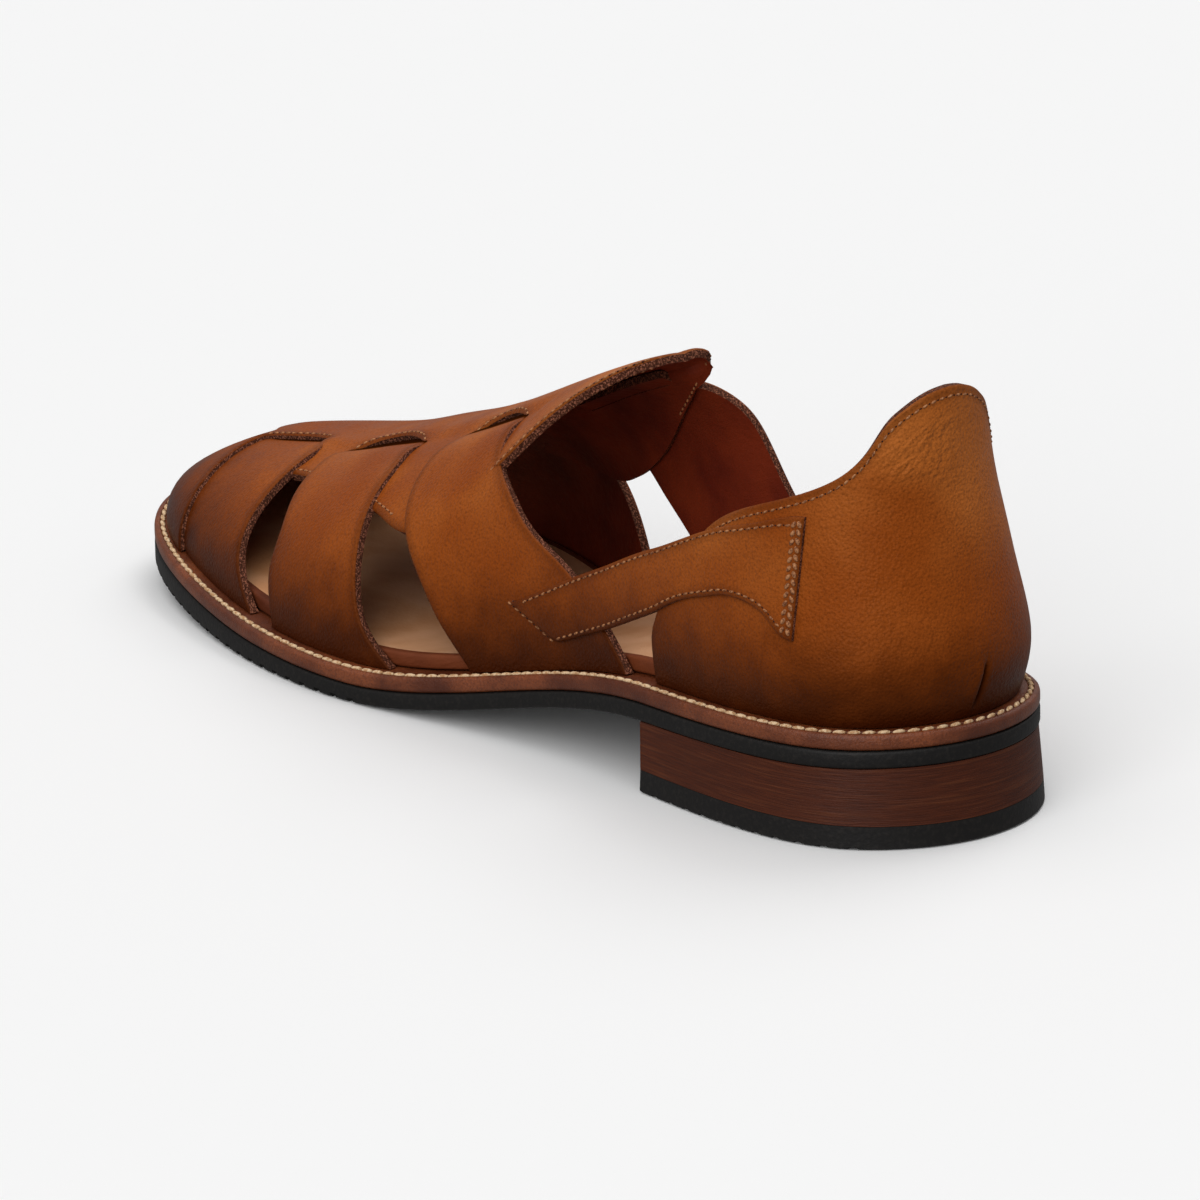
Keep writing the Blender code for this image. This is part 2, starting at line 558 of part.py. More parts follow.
def build_upper():
    """The whole upper: band, straps, counter and bars, joined where they cross."""
    upper = build_band()
    upper.name = "upper"
    for side in (1, -1):
        boolean(upper, build_toe_notch(side), "DIFFERENCE")
        for name in ("middle", "instep"):
            boolean(upper, build_slit(name, side), "DIFFERENCE")
    for name, side in STRAPS:
        boolean(upper, build_strap(name, side), "UNION")
    boolean(upper, build_counter(), "UNION")
    for side in (1, -1):
        boolean(upper, build_bar(side), "UNION")
    return upper


def station_ring(distance, last=SOLE_LENGTH):
    """Level ring at stations of the outline, moved inwards: heel, inner side, toe, outer side."""
    ring = inset(OUTLINE_RING, distance)
    toe = int(np.argmax(OUTLINE_RING[:, 0]))
    stations = SOLE_LENGTH * (1 - np.cos(np.linspace(0, np.pi, STATIONS + 1))) / 2
    inner = OUTLINE_RING[:toe + 1, 0], ring[:toe + 1]
    outer_x = np.append(OUTLINE_RING[toe:, 0], OUTLINE_RING[0, 0])
    outer_ring = np.concatenate([ring[toe:], ring[:1]])
    if last < SOLE_LENGTH:
        stations = np.append(stations[stations < last - STATION_GAP], last)
    near = [[np.interp(x, inner[0], inner[1][:, k]) for k in (0, 1)] for x in stations]
    far = [[np.interp(-x, -outer_x, outer_ring[:, k]) for k in (0, 1)] for x in stations]
    near[0] = far[0] = list(ring[0])
    if last == SOLE_LENGTH:
        near[-1] = far[-1] = list(ring[toe])
    return np.array(near), np.array(far)


def build_sole_layer(name, steps):
    """A full-length layer, from (inset, height over the ground) steps, bottom to top."""
    verts, faces, rings = [], [], []
    for distance, height in steps:
        near, far = station_ring(distance)
        start = len(verts)
        verts += [(x, y, height(x)) for x, y in near] + [(x, y, height(x)) for x, y in far]
        rings.append((start, start + len(near)))
    count = STATIONS + 1
    for (a_near, a_far), (b_near, b_far) in zip(rings, rings[1:]):
        for i in range(count - 1):
            faces.append((a_near + i, a_near + i + 1, b_near + i + 1, b_near + i))
            faces.append((a_far + i + 1, a_far + i, b_far + i, b_far + i + 1))
    for (near, far), turned in ((rings[0], False), (rings[-1], True)):
        for i in range(count - 1):
            quad = (near + i, far + i, far + i + 1, near + i + 1)
            faces.append(quad[::-1] if turned else quad)
    return solid(name, verts, faces, 1e-5)


def build_heel_layer(name, steps, breast):
    """A layer of the heel, cut off at its breast in a shallow curve."""
    verts, faces = [], []
    for distance, height, x_end in steps:
        near, far = station_ring(distance, x_end)
        bow = np.linspace(0, 1, 9)[1:-1]
        middle = [near[-1] * (1 - t) + far[-1] * t for t in bow]
        middle = [(x - breast * 4 * t * (1 - t), y) for (x, y), t in zip(middle, bow)]
        ring = list(near) + middle + list(far[:0:-1])
        count = len(ring)
        verts += [(x, y, height(x)) for x, y in ring]
    for step in range(len(steps) - 1):
        for i in range(count):
            a, b = step * count + i, step * count + (i + 1) % count
            faces.append((a, b, b + count, a + count))
    faces.append(tuple(range(count))[::-1])
    faces.append(tuple(range(len(verts) - count, len(verts))))
    return solid(name, verts, faces, 1e-5)


def tread_cutter(name, start, end, height):
    """Cross grooves of the tread between two stations."""
    verts, faces = [], []
    for x in np.arange(start, end, TREAD_PITCH):
        base = len(verts)
        low, front, back = -CUT_OVERRUN, x, x + TREAD_GROOVE
        for y in (-BALL_WIDTH, BALL_WIDTH):
            verts += [(front, y, low), (back, y, low), (back, y, height(back) + TREAD_DEPTH),
                      (front, y, height(front) + TREAD_DEPTH)]
        faces += [tuple(base + k for k in quad) for quad in
                  ((0, 1, 2, 3), (7, 6, 5, 4), (0, 4, 5, 1), (1, 5, 6, 2), (2, 6, 7, 3), (3, 7, 4, 0))]
    return solid(name, verts, faces)


def build_outsole():
    """Rubber outsole, with its tread cut across the forefoot."""
    outsole = build_sole_layer("outsole", [
        (EDGE_EASE, tread_height),
        (0, lambda x: tread_height(x) + EDGE_EASE),
        (0, lambda x: outsole_top(x) - GAP)])
    grooves = tread_cutter("forefoot_grooves", FLAT_START - 0.6 * TREAD_PITCH, SOLE_LENGTH, tread_height)
    boolean(outsole, grooves, "DIFFERENCE")
    return outsole


def build_midsole():
    """Leather midsole with its welt: it carries the upper and shows a rounded edge all round."""
    return build_sole_layer("midsole", [
        (0.5 * EDGE_EASE, outsole_top),
        (0.2 * EDGE_EASE, lambda x: outsole_top(x) + 0.5 * MIDSOLE_THICKNESS),
        (0.5 * EDGE_EASE, lambda x: seat(x) - EDGE_EASE),
        (1.6 * EDGE_EASE, seat)])


def build_footbed():
    """Leather footbed inside the upper, with its top edge eased."""
    edge = WELT_SHOW + WALL + 4 * GAP
    return build_sole_layer("footbed", [
        (edge, lambda x: seat(x) + GAP),
        (edge, lambda x: seat(x) + FOOTBED_THICKNESS - EDGE_EASE),
        (edge + EDGE_EASE, lambda x: seat(x) + FOOTBED_THICKNESS)])


def build_heel():
    """Stacked leather heel and its rubber top lift, both flaring towards the ground."""
    flare = HEEL_FLARE * LIFT_THICKNESS / HEEL_HEIGHT
    stack = build_heel_layer("heel_stack", [
        (flare - HEEL_FLARE, lambda x: LIFT_THICKNESS + GAP, HEEL_LENGTH),
        (0.5 * EDGE_EASE, lambda x: tread_height(x) - GAP, HEEL_LENGTH + BREAST_LEAN)], HEEL_BREAST_BOW)
    lift = build_heel_layer("top_lift", [
        (EDGE_EASE - HEEL_FLARE, lambda x: 0, HEEL_LENGTH - EDGE_EASE),
        (-HEEL_FLARE, lambda x: EDGE_EASE, HEEL_LENGTH),
        (flare - HEEL_FLARE, lambda x: LIFT_THICKNESS, HEEL_LENGTH)], HEEL_BREAST_BOW)
    depth = LIFT_TREAD_DEPTH - TREAD_DEPTH
    grooves = tread_cutter("heel_grooves", 2 * TREAD_PITCH, HEEL_LENGTH - TREAD_PITCH, lambda x: depth)
    boolean(lift, grooves, "DIFFERENCE")
    return stack, lift


def finish(piece, name, colour, roughness):
    """Gives a piece its material, and smooth shading that keeps its edges."""
    material = bpy.data.materials.new(name)
    material.use_nodes = True
    shader = material.node_tree.nodes["Principled BSDF"]
    shader.inputs["Base Color"].default_value = (*colour, 1)
    shader.inputs["Roughness"].default_value = roughness
    shader.inputs["Metallic"].default_value = 0
    piece.data.materials.append(material)
    piece.data.set_sharp_from_angle(angle=np.radians(35))


def main():
    for old in list(bpy.data.objects):
        bpy.data.objects.remove(old, do_unlink=True)
    finish(build_outsole(), "black_rubber", (0.012, 0.011, 0.010), 0.62)
    finish(build_midsole(), "brown_sole_leather", (0.185, 0.060, 0.026), 0.50)
    finish(build_footbed(), "natural_leather", (0.560, 0.330, 0.170), 0.60)
    stack, lift = build_heel()
    finish(stack, "stacked_leather", (0.075, 0.028, 0.013), 0.48)
    finish(lift, "top_lift_rubber", (0.012, 0.011, 0.010), 0.62)
    finish(build_upper(), "cognac_leather", (0.330, 0.105, 0.020), 0.42)


main()
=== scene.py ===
"""Fisherman sandal, left shoe: the finish of its leathers, stitches, welt, heel and soles.

The pieces are drawn on the same last as the frame's solids, in finer steps. X runs from the heel
to the toe, Y to the outer side of the foot and Z up, in metres."""

import bpy
import numpy as np
from mathutils import Matrix, Vector


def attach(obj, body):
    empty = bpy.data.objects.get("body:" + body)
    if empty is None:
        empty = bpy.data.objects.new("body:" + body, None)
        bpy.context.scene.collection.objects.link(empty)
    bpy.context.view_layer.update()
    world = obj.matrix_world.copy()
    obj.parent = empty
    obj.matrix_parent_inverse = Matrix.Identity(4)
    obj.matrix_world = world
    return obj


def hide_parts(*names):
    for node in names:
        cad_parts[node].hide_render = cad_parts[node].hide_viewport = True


bl_info = {
    "name": "Fisherman Sandal",
    "version": (1, 0, 0),
    "blender": (4, 5, 0),
    "location": "View3D > Sidebar > Sandal",
    "description": "Dresses the frame of a woven leather sandal",
    "category": "Add Mesh",
}

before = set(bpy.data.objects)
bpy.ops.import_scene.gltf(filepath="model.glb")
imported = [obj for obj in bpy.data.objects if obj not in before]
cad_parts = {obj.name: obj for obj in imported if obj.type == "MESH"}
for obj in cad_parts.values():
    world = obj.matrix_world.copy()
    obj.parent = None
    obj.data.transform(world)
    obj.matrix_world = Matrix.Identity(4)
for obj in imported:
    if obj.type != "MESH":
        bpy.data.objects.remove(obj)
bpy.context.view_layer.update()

# The last and the soles, as in the frame
SOLE_LENGTH = 0.300
BALL_WIDTH = 0.1010
HEEL_LENGTH = 0.0760
HEEL_HEIGHT = 0.0193
BREAST_HEIGHT = 0.0168
TOE_SPRING = 0.0080
FLAT_START = 0.1760
FLAT_END = 0.2120
LIFT_THICKNESS = 0.0054
HEEL_FLARE = 0.0010
BREAST_LEAN = 0.0014
OUTSOLE_THICKNESS = 0.0043
TOE_THICKENING = 0.0014
THICKENING_END = 0.2600
MIDSOLE_THICKNESS = 0.0039
FOOTBED_THICKNESS = 0.0040
WELT_SHOW = 0.0046
WALL = 0.0023
SINK = 0.0009
INSTEP_HEIGHT = 0.0715
COUNTER_HEIGHT = 0.0775
COUNTER_LENGTH = 0.0915
COUNTER_SWELL = 0.0026
FAN_START = 0.2120
FAN_CENTRE = 0.2600
TOE_DROOP = 0.22
FAN_POWER = 2.1
SWELL_FADE = (0.13, 0.99)
SIDE_SWELL = 0.55
TONGUE_STAND = 0.0040
LENS_OPENING = 0.0046
TREAD_PITCH = 0.0058
TREAD_GROOVE = 0.0020
TREAD_DEPTH = 0.0011
LIFT_TREAD_DEPTH = 0.0005
SPRING_POWER = 1.7
STATION_GAP = 0.0012
EDGE_EASE = 0.0008
GAP = 0.0003
HEEL_BREAST_BOW = 0.0025
BAR_INNER_ROWS = 12

# Finish: lengths in metres; the dart's and creases' places are shares of the counter
LEATHER_EASE = 0.0007      # rounding of a cut leather edge
WELT_PITCH = 0.0034        # welt lockstitch
WELT_THREAD = 0.0012
WELT_LINE = 0.0021         # stitch line in from the welt's edge
UPPER_PITCH = 0.0023       # upper's stitches
UPPER_THREAD = 0.00062
EDGE_LINE = 0.0022         # stitch lines in from a leather edge
STATIONS = 150             # along a sole layer
FOOTBED_RIM = 0.0022       # dyed rim of the footbed
DART_REACH = -0.013        # short dart low on the heel's back: place, lean and levels
DART_LEAN = -0.030
DART_LEVELS = (0.045, 0.190)
DART_WIDTH = 0.0007
DART_DEPTH = 0.0010
PULL_REACH = 0.13          # fine pull creases below the counter's top line
EASE_DEPTH = 0.7           # how deep a cut edge is rounded, as a share of its rounding
SEAT_CLEARANCE = 0.01      # keeps the rows above a seated one above it, per share of rise
WELT_RADIUS = 0.0011       # round edge of the midsole
WELT_CHANNEL = 0.00035     # depth of the welt's stitch channel, and its edges from outside in
CHANNEL_EDGES = (0.0013, 0.0016, 0.0026, 0.0029)
MIDSOLE_REACH = 0.0080     # how far in the midsole's top is drawn with the welt
BAR_END_PITCH = 0.0019     # stitches of the two rows at a bar's rear end
BAR_END_THREAD = 0.0011
BAR_END_PLACES = (0.22, 0.62)
BAR_END_LEANS = (0.55, -0.55)
BAR_EDGE_SHARES = (0.075, 0.925)
BAR_SLIT_LINE = 0.0022     # stitch row ahead of a bar's slit
SLIT_LINE_RISE = 0.012     # stitch row above a slit's upper lip, and where the first one starts
SLIT_LINE_START = 0.07
LOBE_LINES = ((0.210, 0.262), (0.362, 0.420))
LOBE_LINE_SHARE = 0.05
STRAP_GRID = (64, 26)      # rows and columns of the leather pieces
BAR_GRID = (90, 14)
COUNTER_GRID = (150, 60)
BAND_GRID = (44, 120)      # rows of the toe cap and of the band behind it

# Tongue's stitch rows on either side: first and last arc, points and share of the width
TONGUE_LINES = {1: (0.505, 0.613, 70, 0.032), -1: (0.560, 0.613, 50, 0.045)}

SIDES = {1: "outer", -1: "inner"}

# Camera, fitted to the photograph, and lights: direction, strength and width in degrees
CAMERA_TARGET = (0.12344, 0.01335, 0.02981)
FOCAL_PIXELS = 9320.5
PHOTO_PIXELS = 1200
SENSOR_WIDTH = 36
ROOM_LIGHT = 0.27
LIGHTS = {"overhead": ((0.0, 0.10, 1.0), 1.20, 70), "back": ((0.25, -0.85, 1.10), 0.70, 40),
          "key": ((-0.40, 0.80, 0.50), 1.30, 50)}


def table(names, *rows):
    """A short table with named columns."""
    return dict(zip(names.split(), np.array(rows, float).T))


# Outsole's half-widths: shares of the length and of the ball's width
OUTLINE = table("along outer inner",
                (0.0133, 0.162, 0.168), (0.0533, 0.303, 0.297), (0.127, 0.376, 0.346),
                (0.250, 0.386, 0.317), (0.367, 0.386, 0.282), (0.483, 0.440, 0.317),
                (0.600, 0.508, 0.426), (0.700, 0.501, 0.485), (0.800, 0.446, 0.460),
                (0.883, 0.370, 0.376), (0.947, 0.271, 0.267), (0.987, 0.139, 0.134))

# Ridge of the upper: station, height above the midsole and place across
RIDGE = table("along rise across",
              (0.200, 1.000, -0.020), (0.283, 0.990, -0.030), (0.360, 0.968, -0.040),
              (0.423, 0.938, -0.060), (0.483, 0.895, -0.080), (0.573, 0.775, -0.100),
              (0.643, 0.660, -0.110), (0.693, 0.588, -0.110), (0.743, 0.510, -0.100),
              (0.783, 0.455, -0.090), (0.833, 0.398, -0.070), (0.867, 0.362, -0.050),
              (1.000, 0.240, 0.000))

# How square the sections are, and how far they swell over the welt
SECTION = table("along square swell",
                (0.200, 2.20, 0.0020), (0.400, 2.15, 0.0015), (0.600, 2.05, 0.0012),
                (0.800, 2.12, 0.0014), (1.000, 2.05, 0.0008))

# Heel counter from behind: height and distance out from its base line
COUNTER = table("level out",
                (0.00, 0.00), (0.08, 0.70), (0.16, 1.00), (0.26, 0.65), (0.39, -0.25),
                (0.52, -1.10), (0.65, -1.95), (0.77, -2.50), (1.00, -2.75))

# Counter's top line, from the heel's back forwards
TOPLINE = table("reach level",
                (0.000, 0.990), (0.045, 0.986), (0.115, 0.966), (0.180, 0.930), (0.213, 0.905),
                (0.242, 0.872), (0.275, 0.828), (0.340, 0.767), (0.434, 0.713), (0.535, 0.670),
                (0.640, 0.630), (0.740, 0.582), (0.830, 0.500), (0.920, 0.350), (0.975, 0.230),
                (1.000, 0.150))

# Straps from the sole up to their slits: arcs, rises and layers of leather underneath
STRAP_COLUMNS = "front rear front_rise rear_rise front_lift rear_lift"
STRAPS = {
    ("toe", 1): table(STRAP_COLUMNS,
                      (0.150, 0.280, 0.00, 0.00, 0, 0), (0.141, 0.261, 0.12, 0.12, 0, 0),
                      (0.129, 0.248, 0.26, 0.25, 0, 0), (0.117, 0.239, 0.40, 0.40, 0, 0),
                      (0.102, 0.236, 0.52, 0.54, 0, 0.5), (0.083, 0.232, 0.63, 0.66, 0, 1),
                      (0.064, 0.223, 0.72, 0.76, 0, 1), (0.057, 0.210, 0.79, 0.83, 0, 0.4),
                      (0.055, 0.205, 0.90, 0.92, -0.6, -0.7)),
    ("middle", 1): table(STRAP_COLUMNS,
                         (0.313, 0.451, 0.00, 0.00, 0, 0), (0.308, 0.424, 0.10, 0.10, 0, 0),
                         (0.300, 0.409, 0.22, 0.22, 0, 0), (0.293, 0.398, 0.36, 0.36, 0, 0.6),
                         (0.280, 0.387, 0.50, 0.50, 0.7, 1), (0.270, 0.377, 0.61, 0.62, 1, 1),
                         (0.262, 0.366, 0.71, 0.71, 1, 1), (0.262, 0.363, 0.77, 0.77, 0.2, 0.2),
                         (0.265, 0.361, 0.91, 0.91, -0.8, -0.8)),
    ("instep", 1): table(STRAP_COLUMNS,
                         (0.527, 0.689, 0.00, 0.00, 0, 0), (0.497, 0.652, 0.12, 0.12, 0, 0),
                         (0.476, 0.616, 0.22, 0.22, 0, 0), (0.456, 0.576, 0.32, 0.32, 0.5, 0.4),
                         (0.439, 0.543, 0.42, 0.44, 1, 1), (0.424, 0.512, 0.54, 0.56, 1, 1),
                         (0.415, 0.494, 0.67, 0.68, 1, 1), (0.418, 0.487, 0.76, 0.76, 0.2, 0.2),
                         (0.424, 0.485, 0.91, 0.91, -0.8, -0.8)),
    ("toe", -1): table(STRAP_COLUMNS,
                       (0.140, 0.232, 0.00, 0.00, 0, 0), (0.131, 0.213, 0.12, 0.12, 0, 0),
                       (0.119, 0.201, 0.26, 0.25, 0, 0), (0.108, 0.192, 0.40, 0.40, 0, 0),
                       (0.094, 0.188, 0.52, 0.54, 0, 0.5), (0.076, 0.186, 0.63, 0.66, 0, 1),
                       (0.058, 0.184, 0.72, 0.76, 0, 1), (0.052, 0.180, 0.79, 0.83, 0, 0.4),
                       (0.050, 0.176, 0.90, 0.92, -0.6, -0.7)),
    ("middle", -1): table(STRAP_COLUMNS,
                          (0.284, 0.500, 0.00, 0.00, 0, 0), (0.275, 0.480, 0.10, 0.10, 0, 0),
                          (0.263, 0.462, 0.22, 0.22, 0, 0), (0.249, 0.438, 0.34, 0.34, 0, 0.6),
                          (0.240, 0.411, 0.46, 0.48, 0.6, 1), (0.234, 0.392, 0.59, 0.60, 1, 1),
                          (0.232, 0.379, 0.70, 0.70, 1, 1), (0.234, 0.373, 0.77, 0.77, 0.2, 0.2),
                          (0.238, 0.368, 0.91, 0.91, -0.7, -0.7)),
    ("instep", -1): table(STRAP_COLUMNS,
                          (0.604, 0.700, 0.00, 0.00, 0, 0), (0.579, 0.692, 0.10, 0.10, 0, 0),
                          (0.549, 0.680, 0.21, 0.21, 0, 0), (0.515, 0.663, 0.32, 0.32, 0.5, 0),
                          (0.488, 0.645, 0.43, 0.45, 1, 0.9), (0.465, 0.630, 0.54, 0.56, 1, 1),
                          (0.452, 0.602, 0.66, 0.67, 1, 1), (0.452, 0.582, 0.76, 0.76, 0.2, 0.2),
                          (0.458, 0.575, 0.92, 0.92, -0.6, -0.6)),
}

# Edges of the central band, from the toe to the tongue's end
BAND_EDGE = table("arc outer inner",
                  (0.150, 0.30, 0.34), (0.185, 0.52, 0.52), (0.245, 0.625, 0.61),
                  (0.270, 0.610, 0.59), (0.330, 0.54, 0.52), (0.400, 0.45, 0.43),
                  (0.445, 0.38, 0.38), (0.490, 0.44, 0.40), (0.525, 0.56, 0.45),
                  (0.546, 0.655, 0.51), (0.565, 0.725, 0.58), (0.585, 0.785, 0.655),
                  (0.600, 0.830, 0.720), (0.609, 0.860, 0.765), (0.616, 0.900, 0.830))

CAP_ARC = 0.147
CAP_FADE = 0.011
CAP_RAISE = (0.035, 0.055)
BY_RIDGE = (0.77, 0.83)
TONGUE_RISE = {1: (0.490, 0.520), -1: (0.600, 0.630)}
TONGUE_FREE = {1: (0.500, 0.616), -1: (0.602, 0.616)}
TONGUE_EDGE = 0.65
SIDE_BLEND = (0.62, 0.76)
SLIT_ROW = 7
SLIT_ENDS = (0.06, 0.94)
INNER_NOTCH = 0.93

# Opening of the band over the toe strap
NOTCH = table("arc low high",
              (0.066, 0.740, 0.765), (0.085, 0.660, 0.800), (0.106, 0.570, 0.820),
              (0.128, 0.430, 0.832), (0.141, 0.280, 0.838), (0.148, 0.100, 0.842),
              (0.156, 0.100, 0.846), (0.180, 0.300, 0.850), (0.204, 0.400, 0.845))

# Side bar, from its rear end forwards: arc of its lower edge, levels of both edges, layers of
# leather underneath and how far the upper edge is ahead
BAR = table("arc low high lift ahead",
            (0.870, 0.262, 0.622, 1, 0), (0.858, 0.276, 0.618, 1, 0), (0.845, 0.318, 0.606, 1, 0),
            (0.826, 0.346, 0.582, 1, 0), (0.805, 0.350, 0.558, 1, 0), (0.787, 0.333, 0.536, 1, 0),
            (0.757, 0.295, 0.484, 1, 0), (0.730, 0.237, 0.434, 1, 0), (0.700, 0.183, 0.386, 1, 0),
            (0.672, 0.143, 0.340, 1, 0.002), (0.645, 0.116, 0.294, 1, 0.014),
            (0.620, 0.096, 0.232, 1, 0.042), (0.611, 0.100, 0.224, 0, 0.046),
            (0.602, 0.106, 0.217, -1, 0.048))


def spline(xs, ys, at):
    """A natural cubic curve through the points, straight beyond its ends."""
    xs, ys, at = np.asarray(xs), np.asarray(ys), np.asarray(at, float)
    step = np.diff(xs)
    slope = np.diff(ys) / step
    count = len(xs)
    matrix = np.eye(count)
    bend = np.zeros(count)
    for i in range(1, count - 1):
        matrix[i, i - 1:i + 2] = step[i - 1], 2 * (step[i - 1] + step[i]), step[i]
        bend[i] = 6 * (slope[i] - slope[i - 1])
    bend = np.linalg.solve(matrix, bend)
    inside = np.clip(at, xs[0], xs[-1])
    i = np.clip(np.searchsorted(xs, inside) - 1, 0, count - 2)
    left, right, h = inside - xs[i], xs[i + 1] - inside, step[i]
    value = (bend[i] * right ** 3 + bend[i + 1] * left ** 3) / (6 * h)
    value += (ys[i] / h - bend[i] * h / 6) * right + (ys[i + 1] / h - bend[i + 1] * h / 6) * left
    first = slope[0] - step[0] * bend[1] / 6
    last = slope[-1] + step[-1] * bend[-2] / 6
    return value + first * np.minimum(at - xs[0], 0) + last * np.maximum(at - xs[-1], 0)


def read(rows, column, at):
    """Value of a table's column at places along its first column."""
    return spline(next(iter(rows.values())), rows[column], at)


def smoothstep(x, start, end):
    t = np.clip((x - start) / (end - start), 0, 1)
    return t * t * (3 - 2 * t)


def build_outline():
    """Outsole's outline, counter-clockwise from the heel's back round the inner side."""
    along = OUTLINE["along"] * SOLE_LENGTH
    inner = np.stack([along, -OUTLINE["inner"] * BALL_WIDTH], -1)
    outer = np.stack([along, OUTLINE["outer"] * BALL_WIDTH], -1)
    points = np.concatenate([[[0, 0]], inner, [[SOLE_LENGTH, 0]], outer[::-1]])
    lengths = np.linalg.norm(np.roll(points, -1, 0) - points, axis=1) ** 0.8
    knots = np.concatenate([[0], np.cumsum(lengths)])
    laps = np.concatenate([knots[:-1] - knots[-1], knots[:-1], knots + knots[-1]])
    ring = np.concatenate([points, points, points, points[:1]])
    at = np.linspace(0, knots[-1], 2400, endpoint=False)
    return np.stack([spline(laps, ring[:, 0], at), spline(laps, ring[:, 1], at)], -1)


def inset(ring, distance):
    """A closed counter-clockwise ring moved inwards."""
    along = np.roll(ring, -1, 0) - np.roll(ring, 1, 0)
    along /= np.linalg.norm(along, axis=1)[:, None]
    return ring + np.stack([-along[:, 1], along[:, 0]], -1) * distance


def start_at_toe(ring):
    """The ring from its toe tip round the outer side, closed, with its running length."""
    ring = np.roll(ring, -int(np.argmax(ring[:, 0])), 0)
    ring = np.concatenate([ring, ring[:1]])
    run = np.concatenate([[0], np.cumsum(np.linalg.norm(np.diff(ring, axis=0), axis=1))])
    return ring, run


OUTLINE_RING = build_outline()
ORIGIN = np.append((OUTLINE_RING.min(0) + OUTLINE_RING.max(0)) / 2, 0)
ORIGIN[0] -= HEEL_FLARE / 2
BASE_LINE, BASE_RUN = start_at_toe(inset(OUTLINE_RING, WELT_SHOW))
HALF_GIRTH = BASE_RUN[-1] / 2


def base_point(arc):
    """Points of the upper's base line; arcs are 0 at the toe tip, positive on the outer side."""
    run = arc * HALF_GIRTH % BASE_RUN[-1]
    return np.stack([np.interp(run, BASE_RUN, BASE_LINE[:, k]) for k in (0, 1)], -1)


def base_outward(arc):
    """Level direction straight out from the base line."""
    step = 0.004
    along = base_point(arc + step) - base_point(arc - step)
    along /= np.linalg.norm(along, axis=-1, keepdims=True)
    return np.stack([along[..., 1], -along[..., 0]], -1)


def tread_height(x):
    """Underside of the outsole over the ground."""
    x = np.asarray(x, float)
    fall = (HEEL_HEIGHT - BREAST_HEIGHT) / HEEL_LENGTH
    reach = FLAT_START - HEEL_LENGTH
    t = np.clip((x - HEEL_LENGTH) / reach, 0, 1)
    waist = BREAST_HEIGHT * (1 - 3 * t ** 2 + 2 * t ** 3) - fall * reach * t * (1 - t) ** 2
    t = np.maximum(x - FLAT_END, 0) / (SOLE_LENGTH - FLAT_END)
    return np.where(x < HEEL_LENGTH, HEEL_HEIGHT - fall * x, waist) + TOE_SPRING * t ** SPRING_POWER


def outsole_top(x):
    thickening = TOE_THICKENING * smoothstep(x, FLAT_START, THICKENING_END)
    return tread_height(x) + OUTSOLE_THICKNESS + thickening


def seat(x):
    """Top of the midsole, on which the upper stands."""
    return outsole_top(x) + MIDSOLE_THICKNESS


def arc_at(x, side):
    """Arc of the base line at a station on one side."""
    arcs = np.linspace(0.01, 0.99, 400)
    return np.interp(-x, -base_point(arcs * side)[:, 0], arcs)


FAN_ARC = {side: float(arc_at(FAN_START, side)) for side in (1, -1)}


def ridge_station(arc):
    """Where on the ridge the section that starts at an arc of the base line ends."""
    share = np.minimum(abs(arc) / np.where(arc >= 0, FAN_ARC[1], FAN_ARC[-1]), 1)
    fanned = FAN_CENTRE - (FAN_CENTRE - FAN_START) * share ** FAN_POWER
    return np.where(share < 1, fanned, base_point(arc)[..., 0])


def fan_arc(x, side):
    """Arc of the section that ends on the ridge at a station."""
    share = np.maximum((FAN_CENTRE - x) / (FAN_CENTRE - FAN_START), 0)
    return np.where(x <= FAN_START, arc_at(x, side), FAN_ARC[side] * share ** (1 / FAN_POWER))


def vamp(arc, rise):
    """Outer face of the vamp: rise goes from 0 at the base line to 1 on the ridge."""
    foot = base_point(arc)
    x = ridge_station(arc)
    at_foot = foot[..., 0] / SOLE_LENGTH
    top = np.stack([x, read(RIDGE, "across", x / SOLE_LENGTH) * BALL_WIDTH], -1)
    low = seat(foot[..., 0])
    high = seat(x) + read(RIDGE, "rise", x / SOLE_LENGTH) * INSTEP_HEIGHT
    power = 2 / read(SECTION, "square", at_foot)
    angle = np.clip(rise, 0, 1) * np.pi / 2
    outward = np.maximum(np.cos(angle), 0) ** power
    upward = np.sin(angle) ** power
    spread = foot - top
    out = spread / np.maximum(np.linalg.norm(spread, axis=-1, keepdims=True), 1e-6)
    swell = read(SECTION, "swell", at_foot) * np.sin(np.pi * np.minimum(rise * 1.3, 1))
    plan = top + spread * outward[..., None] + out * swell[..., None]
    ahead = np.maximum(plan[..., 0] - x, 0)
    height = low + (high - low) * upward - TOE_DROOP * ahead * upward
    return np.concatenate([plan, height[..., None]], -1)


def counter(arc, level):
    """Outer face of the counter at a height above the midsole, as a share of its height."""
    foot = base_point(arc)
    back = 1 - smoothstep(foot[..., 0] / HEEL_LENGTH, *SWELL_FADE)
    out = read(COUNTER, "out", level) * COUNTER_SWELL * (SIDE_SWELL + (1 - SIDE_SWELL) * back)
    plan = foot + base_outward(arc) * out[..., None]
    height = seat(foot[..., 0]) + level * COUNTER_HEIGHT
    return np.concatenate([plan, height[..., None]], -1)


